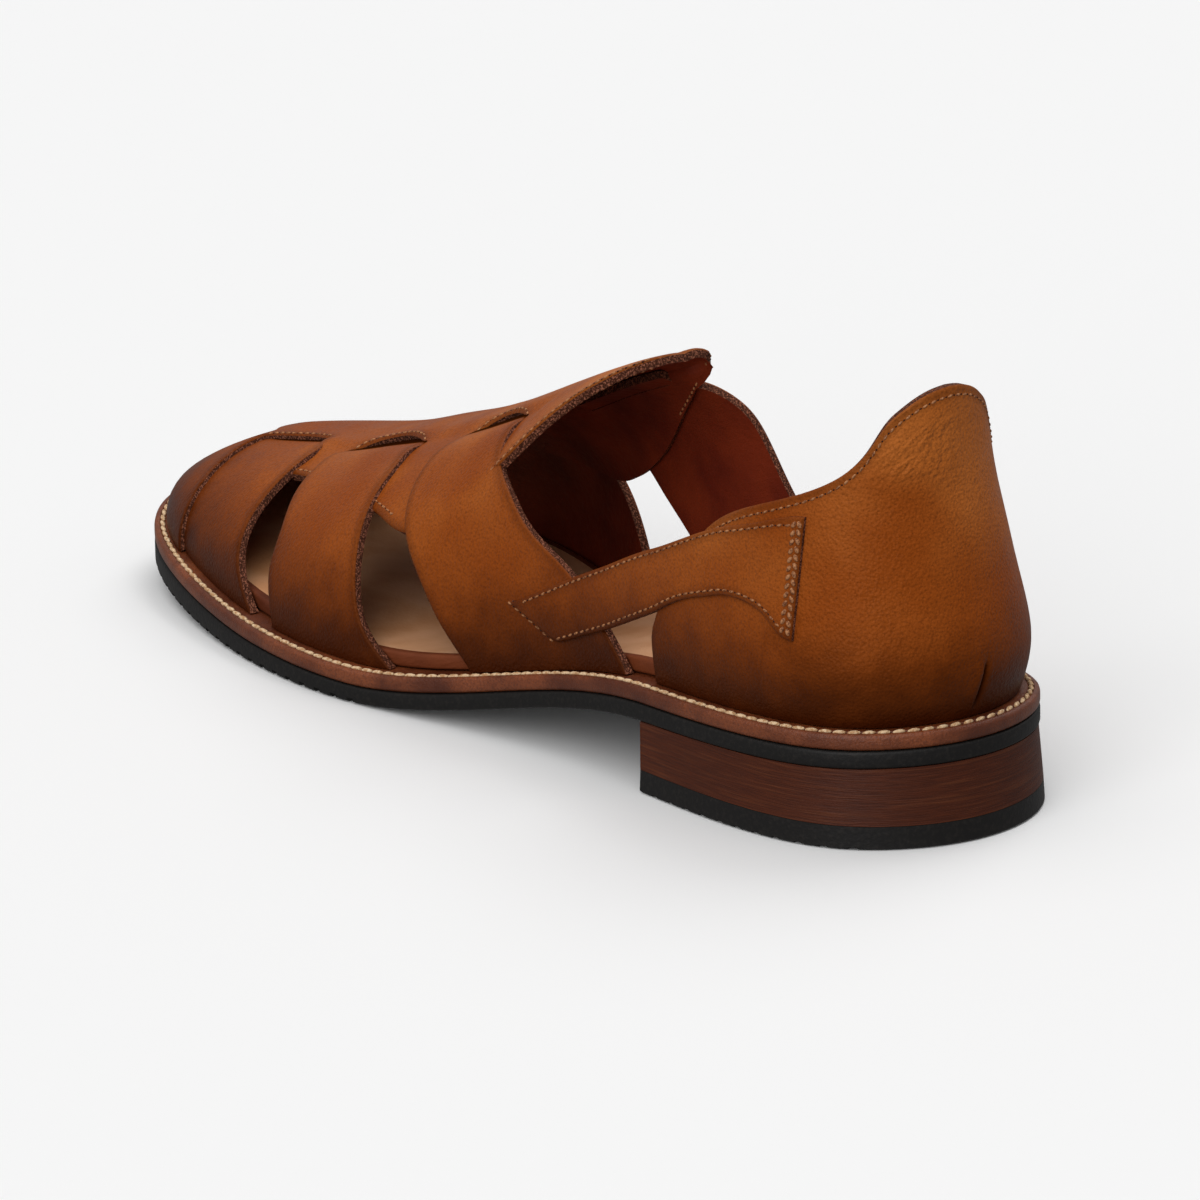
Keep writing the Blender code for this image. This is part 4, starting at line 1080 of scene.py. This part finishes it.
def moved_inside(a, b, surface, distance):
    """A line's arcs and levels moved a distance away from its edge, downwards in level."""
    step = 0.01
    rib = np.linalg.norm(surface(a, b) - surface(a, b - step), axis=-1) / step
    return a, b - distance / rib


def counter_stitches():
    """Row along the counter's top line."""
    reach = np.linspace(-0.93, 0.93, 200)
    arc = 1 - reach * COUNTER_LENGTH / HALF_GIRTH
    level = top_level(reach)
    arc, level = moved_inside(arc, level, wrapped_side_wall, EDGE_LINE)
    return [line_on(wrapped_side_wall, arc, level)]


def bar_stitches(side):
    """Rows along a bar's upper and lower edge."""
    last = len(bar_rows(side)["arc"]) - 1
    places = np.linspace(0.75, last - 2.0, 120)
    lines = []
    for share in BAR_EDGE_SHARES:
        arc, level, lift = bar_grid(side, places, np.array([[share]]))
        lines.append(line_on(side_wall, arc[:, 0], level[:, 0], lift[:, 0]))
    return lines


def bar_end_stitches(side):
    """Two rows close together across a bar's rear end."""
    across = np.linspace(0.03, 0.97, 40)[None, :]
    lines = []
    for place in BAR_END_PLACES:
        arc, level, lift = bar_grid(side, np.array([place]), across)
        lines.append(line_on(side_wall, arc[0], level[0], lift[0]))
    return lines


def bar_slit_stitches(side):
    """Row ahead of the slit that the bar's front end goes into."""
    front = len(bar_rows(side)["arc"]) - (3 if side > 0 else 2)
    arc, level, _ = bar_grid(side, np.array([front + 0.3]), np.linspace(-0.04, 1.04, 30)[None, :])
    ahead = BAR_SLIT_LINE / HALF_GIRTH
    return [line_on(side_wall, arc[0] - side * ahead, level[0], layer(1.0 if side < 0 else 0.02))]


def band_line(side, start, end, count, share, inside=False):
    """A line along the band at a share of its width from one edge; inside lies on its lining."""
    rows = np.linspace(start, end, count)
    low = read(BAND_EDGE, SIDES[side], rows)
    arc = rows if side > 0 else -fan_arc(ridge_station(rows), -1)
    rise = low + (1 - low) * share
    points, normal = line_on(vamp, arc, rise, band_lift(arc, rise) - (WALL if inside else 0))
    return points, -normal if inside else normal


def tongue_stitches():
    """Rows along the tongue's free edges, on both of its faces."""
    return [band_line(side, *TONGUE_LINES[side], inside) for inside in (False, True) for side in SIDES]


def lobe_stitches():
    """Rows along the band's free edges between the straps."""
    return [band_line(side, start, end, 40, LOBE_LINE_SHARE) for start, end in LOBE_LINES for side in SIDES]


def slit_stitches():
    """Beaded upper lips of the slits in the band, and of the outer toe strap's slit."""
    lines = []
    for side in SIDES:
        for arcs, _, high in openings(side)[0 if side > 0 else 1:]:
            at = np.linspace(arcs[0], arcs[-1], 60)
            at = at[at > SLIT_LINE_START]
            rise = np.interp(at, arcs, high) + SLIT_LINE_RISE
            lines.append(line_on(vamp, at * side, rise, band_lift(at * side, rise)))
    return lines


# Sole layers

def station_ring(distance, last=SOLE_LENGTH):
    """Level ring at stations of the outline, moved inwards: inner side, then outer side."""
    ring = inset(OUTLINE_RING, distance)
    toe = int(np.argmax(OUTLINE_RING[:, 0]))
    stations = SOLE_LENGTH * (1 - np.cos(np.linspace(0, np.pi, STATIONS + 1))) / 2
    outer_x = np.append(OUTLINE_RING[toe:, 0], OUTLINE_RING[0, 0])
    outer_ring = np.concatenate([ring[toe:], ring[:1]])
    if last < SOLE_LENGTH:
        stations = np.append(stations[stations < HEEL_LENGTH - STATION_GAP], last)
    near = np.stack([np.interp(stations, OUTLINE_RING[:toe + 1, 0], ring[:toe + 1, k]) for k in (0, 1)], -1)
    far = np.stack([np.interp(-stations, -outer_x, outer_ring[:, k]) for k in (0, 1)], -1)
    near[0] = far[0] = ring[0]
    if last == SOLE_LENGTH:
        near[-1] = far[-1] = ring[toe]
    return near, far


def loft(name, rings, materials):
    """Closed rings joined from bottom to top; each is (inner side, outer side, height)."""
    verts, faces, starts = [], [], []
    for near, far, height in rings:
        starts.append(len(verts))
        loop = np.concatenate([near, far[::-1]])
        verts += [(x - ORIGIN[0], y - ORIGIN[1], float(height(x))) for x, y in loop]
    count, half = len(loop), len(near)
    for a, b in zip(starts, starts[1:]):
        faces += [(a + i, a + (i + 1) % count, b + (i + 1) % count, b + i) for i in range(count)]
    for start, turned in ((starts[0], True), (starts[-1], False)):
        for i in range(half - 1):
            quad = (start + i, start + i + 1, start + count - 2 - i, start + count - 1 - i)
            faces.append(quad[::-1] if turned else quad)
    piece = new_piece(name, verts, faces, materials)
    merge_doubles(piece, 1e-6)
    turn_outwards(piece)
    return piece


def full_layer(name, steps, materials):
    return loft(name, [(*station_ring(d), height) for d, height in steps], materials)


def side_steps(bottom, top, radius):
    """Steps of a layer's side with both edges rounded, as pairs of inset and height."""
    steps = []
    for base, upwards, angles in ((bottom, 1, (0, 30, 60, 90)), (top, -1, (90, 60, 30, 0))):
        for angle in np.radians(angles):
            offset = upwards * radius * (1 - np.cos(angle))
            height = lambda x, base=base, offset=offset: base(x) + offset
            steps.append((radius * (1 - np.sin(angle)), height))
    steps.insert(4, (0.0, lambda x: (bottom(x) + top(x)) / 2))
    return steps


def grooves(start, end, height):
    """Cross grooves of the tread, as one cutter."""
    verts, faces = [], []
    for x in np.arange(start, end, TREAD_PITCH):
        base = len(verts)
        for y in (-BALL_WIDTH, BALL_WIDTH):
            front, back = x - ORIGIN[0], x + TREAD_GROOVE - ORIGIN[0]
            verts += [(front, y, -0.01), (back, y, -0.01),
                      (back, y, float(height(x + TREAD_GROOVE)) + TREAD_DEPTH),
                      (front, y, float(height(x)) + TREAD_DEPTH)]
        faces += [tuple(base + k for k in quad) for quad in
                  ((0, 1, 2, 3), (7, 6, 5, 4), (0, 4, 5, 1), (1, 5, 6, 2), (2, 6, 7, 3), (3, 7, 4, 0))]
    cutter = new_piece("grooves", verts, faces)
    turn_outwards(cutter)
    return cutter


def heel_ring(distance, end):
    """Ring of a heel layer, cut off at its breast in a shallow curve."""
    near, far = station_ring(distance, end)
    bow = np.linspace(0, 1, 13)[1:-1, None]
    middle = near[-1] * (1 - bow) + far[-1] * bow
    middle[:, 0] -= HEEL_BREAST_BOW * 4 * (bow * (1 - bow))[:, 0]
    half = len(middle) // 2
    return np.concatenate([near, middle[:half + 1]]), np.concatenate([far, middle[:half - 1:-1]])


def build_outsole():
    low, top = tread_height, lambda x: outsole_top(x) - GAP / 3
    piece = full_layer("rubber_outsole", side_steps(low, top, EDGE_EASE), [black_rubber()])
    cut(piece, grooves(FLAT_START - 0.6 * TREAD_PITCH, SOLE_LENGTH, tread_height))
    smooth(piece)
    return piece


def build_midsole():
    """Midsole with its welt: a round burnished edge and a shallow channel for the stitches."""
    steps = side_steps(outsole_top, seat, WELT_RADIUS)
    depths = (0, WELT_CHANNEL, WELT_CHANNEL, 0, 0)
    for distance, depth in zip((*CHANNEL_EDGES, MIDSOLE_REACH), depths):
        steps.append((distance, lambda x, depth=depth: seat(x) - depth))
    piece = full_layer("welted_midsole", steps, [welt_leather()])
    smooth(piece)
    return piece


def build_footbed():
    """Insole: its sides and a narrow rim are dyed brown, its top is left natural."""
    edge = WELT_SHOW + WALL + 2.5 * GAP
    low, top = lambda x: seat(x) + GAP, lambda x: seat(x) + FOOTBED_THICKNESS
    steps = [(edge + d, height) for d, height in side_steps(low, top, EDGE_EASE)]
    steps += [(edge + FOOTBED_RIM, top), (edge + FOOTBED_RIM + 0.0004, top)]
    piece = full_layer("insole", steps, [dyed_rim(), footbed_leather()])
    smooth(piece)
    border = inset(OUTLINE_RING, edge) - ORIGIN[:2]
    for face in piece.data.polygons:
        distance = np.linalg.norm(border - np.array(face.center)[:2], axis=1).min()
        face.material_index = int(face.normal.z > 0.9 and distance > FOOTBED_RIM)
    return piece


def build_heel():
    """Stacked leather heel and its rubber top lift."""
    flare = HEEL_FLARE * LIFT_THICKNESS / HEEL_HEIGHT
    stack = loft("leather_heel_stack", [
        (*heel_ring(flare - HEEL_FLARE, HEEL_LENGTH), lambda x: LIFT_THICKNESS + GAP / 3),
        (*heel_ring(0.5 * EDGE_EASE, HEEL_LENGTH + BREAST_LEAN), lambda x: tread_height(x) - GAP / 3)],
        [stacked_leather()])
    steps = [(0.5 * EDGE_EASE, 0, 0.5 * EDGE_EASE), (0, 0.5 * EDGE_EASE, 0),
             (flare, LIFT_THICKNESS, 0)]
    lift = loft("rubber_top_lift", [
        (*heel_ring(distance - HEEL_FLARE, HEEL_LENGTH - back), lambda x, height=height: height)
        for distance, height, back in steps], [bpy.data.materials["moulded_rubber"]])
    depth = LIFT_TREAD_DEPTH - TREAD_DEPTH
    cut(lift, grooves(2 * TREAD_PITCH, HEEL_LENGTH - TREAD_PITCH, lambda x: depth))
    for piece in (stack, lift):
        smooth(piece, 35)
    return stack, lift


def welt_stitches():
    """Row in the welt's channel, all round the shoe."""
    ring = start_at_toe(inset(OUTLINE_RING, WELT_LINE))[0][::4]
    points = np.column_stack([ring, seat(ring[:, 0]) - WELT_CHANNEL])
    step = 0.001
    slope = (seat(ring[:, 0] + step) - seat(ring[:, 0] - step)) / (2 * step)
    normals = np.column_stack([-slope, 0 * slope, 0 * slope + 1])
    return [(points, normals / np.linalg.norm(normals, axis=1)[:, None])]


# Settings that a user would change

def colour_setting(name, description, code):
    return bpy.props.StringProperty(name=name, description=description, default=code)


def angle_setting(name, description, degrees):
    return bpy.props.FloatProperty(name=name, description=description, default=np.radians(degrees),
                                   subtype="ANGLE")


class SandalLeather(bpy.types.PropertyGroup):
    # Highlight is partly a painted highlight higher up, and Burnish partly painted shade near the sole
    high: colour_setting("Highlight", "Calf where it is polished", "#bd6a2c")
    middle: colour_setting("Body", "Calf over most of the upper", "#934511")
    low: colour_setting("Burnish", "Calf by the sole, seams and edges", "#3f1602")
    edge: colour_setting("Cut edge", "Dye on cut edges", "#45200f")
    edge_fleck: colour_setting("Cut edge fleck", "Paler fibres", "#aa6a50")
    lining: colour_setting("Lining", "Inside of the straps", "#551205")
    lining_light: colour_setting("Lining, worn", "Rubbed inside", "#78280c")
    sheen: colour_setting("Sheen", "Tint of the wax's shine", "#ffb280")
    roughness: bpy.props.FloatProperty(name="Roughness", description="Of the polished calf",
                                       default=0.43, min=0, max=1)
    grain: bpy.props.FloatProperty(name="Grain", description="Width of the calf's grain, mm",
                                   default=0.7, min=0.2)


class SandalSole(bpy.types.PropertyGroup):
    welt: colour_setting("Welt", "Waxed welt leather", "#8a4826")
    welt_dark: colour_setting("Welt, dark", "Dye in its pores", "#54240f")
    footbed: colour_setting("Footbed", "Undyed insole leather", "#dea87e")
    footbed_dark: colour_setting("Footbed, dark", "Its shaded patches", "#c68a5c")
    stack: colour_setting("Heel stack", "Sanded sole leather", "#552611")
    stack_light: colour_setting("Heel stack, light", "Its pale lines", "#6c391e")
    stack_dark: colour_setting("Heel stack, dark", "Its dark lines", "#451e0f")
    rubber: colour_setting("Rubber", "Outsole and top lift", "#141211")
    rubber_worn: colour_setting("Rubber, dusty", "Its fine texture", "#26221f")


class SandalStage(bpy.types.PropertyGroup):
    floor: colour_setting("Floor", "Pale floor", "#f4f4f4")
    distance: bpy.props.FloatProperty(name="Camera distance", default=2.2, unit="LENGTH",
                                      description="From the shoe to the camera")
    azimuth: angle_setting("Azimuth", "Camera's turn from the heel's line", 51.77)
    elevation: angle_setting("Elevation", "Camera above the horizon", 17.6)
    roll: angle_setting("Roll", "Camera's roll", -0.98)


class SANDAL_OT_soles(bpy.types.Operator):
    """Makes the rubber outsole, the welted midsole and the insole"""
    bl_idname = "sandal.soles"
    bl_label = "Soles"

    def execute(self, context):
        register_piece(build_outsole(), "black_rubber", "outsole")
        register_piece(build_midsole(), "brown_sole_leather", "midsole")
        register_piece(build_footbed(), "natural_leather", "footbed")
        return {"FINISHED"}


class SANDAL_OT_heel(bpy.types.Operator):
    """Makes the stacked leather heel and its rubber top lift"""
    bl_idname = "sandal.heel"
    bl_label = "Heel"

    def execute(self, context):
        stack, lift = build_heel()
        register_piece(stack, "stacked_leather", "heel_stack")
        register_piece(lift, "black_rubber", "top_lift")
        return {"FINISHED"}


class SANDAL_OT_band(bpy.types.Operator):
    """Makes the central band with its toe cap, lobes, slits and tongue"""
    bl_idname = "sandal.band"
    bl_label = "Central band"

    def execute(self, context):
        register_piece(build_band(), "cognac_leather", "upper")
        return {"FINISHED"}


class SANDAL_OT_straps(bpy.types.Operator):
    """Makes the toe, middle and instep straps of both sides"""
    bl_idname = "sandal.straps"
    bl_label = "Straps"

    def execute(self, context):
        for name, side in STRAPS:
            register_piece(build_strap(name, side), "cognac_leather", "upper")
        return {"FINISHED"}


class SANDAL_OT_counter(bpy.types.Operator):
    """Makes the heel counter and the side bars that tie it to the instep straps"""
    bl_idname = "sandal.counter"
    bl_label = "Heel counter and side bars"

    def execute(self, context):
        register_piece(build_counter(), "cognac_leather", "upper")
        for side in SIDES:
            register_piece(build_bar(side), "cognac_leather", "upper")
        return {"FINISHED"}


class SANDAL_OT_stitches(bpy.types.Operator):
    """Sews the welt, the counter, the bars, the tongue, the lobes and the slits"""
    bl_idname = "sandal.stitches"
    bl_label = "Stitches"

    def execute(self, context):
        cream = thread("welt_thread", "#e8c9a2", "#b98d62", 0.9)
        tan = thread("upper_thread", "#b98055", "#74442a", 0.6)
        # Needle holes are dark beads between the stitches: painted shade in the holes
        hole_shade = thread("needle_holes", "#3a1809", "#2a1006", 0.6)
        welt = stitch_lines("welt_stitches", welt_stitches(), WELT_PITCH, WELT_THREAD, 0.94, cream, 0.22)
        register_piece(welt, "natural_leather")
        groups = {"counter_stitches": counter_stitches(), "tongue_stitches": tongue_stitches(),
                  "bar_stitches": bar_stitches(1) + bar_stitches(-1),
                  "bar_slit_stitches": bar_slit_stitches(1) + bar_slit_stitches(-1),
                  "slit_stitches": slit_stitches(), "lobe_stitches": lobe_stitches()}
        for name, lines in groups.items():
            piece = stitch_lines(name, lines, UPPER_PITCH, UPPER_THREAD, 0.62, tan, 0.16, 0.52)
            register_piece(piece, "natural_leather")
            # Dark beads for the needle holes, as painted shade
            holes = stitch_lines(name + "_holes", lines, UPPER_PITCH, 0.9 * UPPER_THREAD, 0.34, hole_shade,
                                 sink=0.80, phase=0.5)
            register_piece(holes, "natural_leather")
        ends = bar_end_stitches(1) + bar_end_stitches(-1)
        for k, lean in enumerate(BAR_END_LEANS):
            piece = stitch_lines(f"bar_end_stitches_{k + 1}", ends[k::2], BAR_END_PITCH, BAR_END_THREAD,
                                 0.95, tan, lean, 0.5)
            register_piece(piece, "natural_leather")
        return {"FINISHED"}


class SANDAL_OT_stage(bpy.types.Operator):
    """Sets up the floor, the camera and the studio lights"""
    bl_idname = "sandal.stage"
    bl_label = "Stage"

    def execute(self, context):
        look = context.scene.sandal_stage
        deselect()
        bpy.ops.mesh.primitive_plane_add(size=9.0, location=(0, 0, -0.0002))
        floor = context.active_object
        floor.name = "studio_floor"
        floor.data.materials.append(matte_paper(look.floor))
        floor.visible_diffuse = floor.visible_glossy = False
        make_camera(look)
        make_lights(context.scene)
        context.scene.view_settings.view_transform = "Standard"
        return {"FINISHED"}


def matte_paper(code):
    """Pale paper floor: even and without shine."""
    return new_material("matte_paper", Roughness=0.95, Specular_IOR_Level=0.1, Base_Color=linear(code))[0]


def make_camera(look):
    """Camera at the photograph's angle, fitted to the sole's outline."""
    a, e, r = look.azimuth, look.elevation, look.roll
    back = np.array([-np.sin(a) * np.cos(e), np.cos(a) * np.cos(e), np.sin(e)])
    right = np.array([-np.cos(a), -np.sin(a), 0])
    up = np.cross(back, right)
    right, up = right * np.cos(r) + up * np.sin(r), up * np.cos(r) - right * np.sin(r)
    target = np.array(CAMERA_TARGET) - ORIGIN
    data = bpy.data.cameras.new("camera")
    data.sensor_width = SENSOR_WIDTH
    data.lens = data.sensor_width * FOCAL_PIXELS / PHOTO_PIXELS
    data.clip_end = 50
    camera = bpy.data.objects.new("camera", data)
    matrix = np.eye(4)
    matrix[:3, 0], matrix[:3, 1], matrix[:3, 2] = right, up, back
    matrix[:3, 3] = target + back * look.distance
    camera.matrix_world = Matrix(matrix.tolist())
    bpy.context.collection.objects.link(camera)
    bpy.context.scene.camera = camera


def soft_light(name, towards, strength, angle):
    """A wide even light from one direction, as from a large soft box far away."""
    data = bpy.data.lights.new(name, "SUN")
    data.energy = strength
    data.angle = np.radians(angle)
    light = bpy.data.objects.new(name, data)
    light.rotation_euler = (-Vector(towards)).to_track_quat("-Z", "Y").to_euler()
    bpy.context.collection.objects.link(light)


def make_lights(scene):
    """Soft boxes overhead, behind the shoe and at the camera's left, and a dim room."""
    world = bpy.data.worlds.new("studio")
    world.use_nodes = True
    room = world.node_tree.nodes["Background"]
    room.inputs["Color"].default_value = (1, 1, 1, 1)
    room.inputs["Strength"].default_value = ROOM_LIGHT
    scene.world = world
    for name, (towards, strength, width) in LIGHTS.items():
        soft_light(name, towards, strength, width)


class SANDAL_PT_panel(bpy.types.Panel):
    """Lists the sandal's pieces and settings"""
    bl_label = "Fisherman sandal"
    bl_idname = "SANDAL_PT_panel"
    bl_space_type = "VIEW_3D"
    bl_region_type = "UI"
    bl_category = "Sandal"

    def draw(self, context):
        for group in SETTINGS:
            settings = getattr(context.scene, group)
            for name in settings.bl_rna.properties.keys():
                if name not in ("rna_type", "name"):
                    self.layout.prop(settings, name)
        for operator in OPERATORS:
            self.layout.operator(operator.bl_idname)


SETTINGS = {"sandal_leather": SandalLeather, "sandal_sole": SandalSole, "sandal_stage": SandalStage}
OPERATORS = (SANDAL_OT_soles, SANDAL_OT_heel, SANDAL_OT_band, SANDAL_OT_straps, SANDAL_OT_counter,
             SANDAL_OT_stitches, SANDAL_OT_stage)


def register():
    for group in (*SETTINGS.values(), *OPERATORS, SANDAL_PT_panel):
        bpy.utils.register_class(group)
    for name, group in SETTINGS.items():
        setattr(bpy.types.Scene, name, bpy.props.PointerProperty(type=group))


def unregister():
    for name in SETTINGS:
        delattr(bpy.types.Scene, name)
    for group in (SANDAL_PT_panel, *reversed(OPERATORS), *SETTINGS.values()):
        bpy.utils.unregister_class(group)


def main():
    register()
    for operator in OPERATORS:
        group, name = operator.bl_idname.split(".")
        getattr(getattr(bpy.ops, group), name)()


if __name__ == "__main__":
    main()
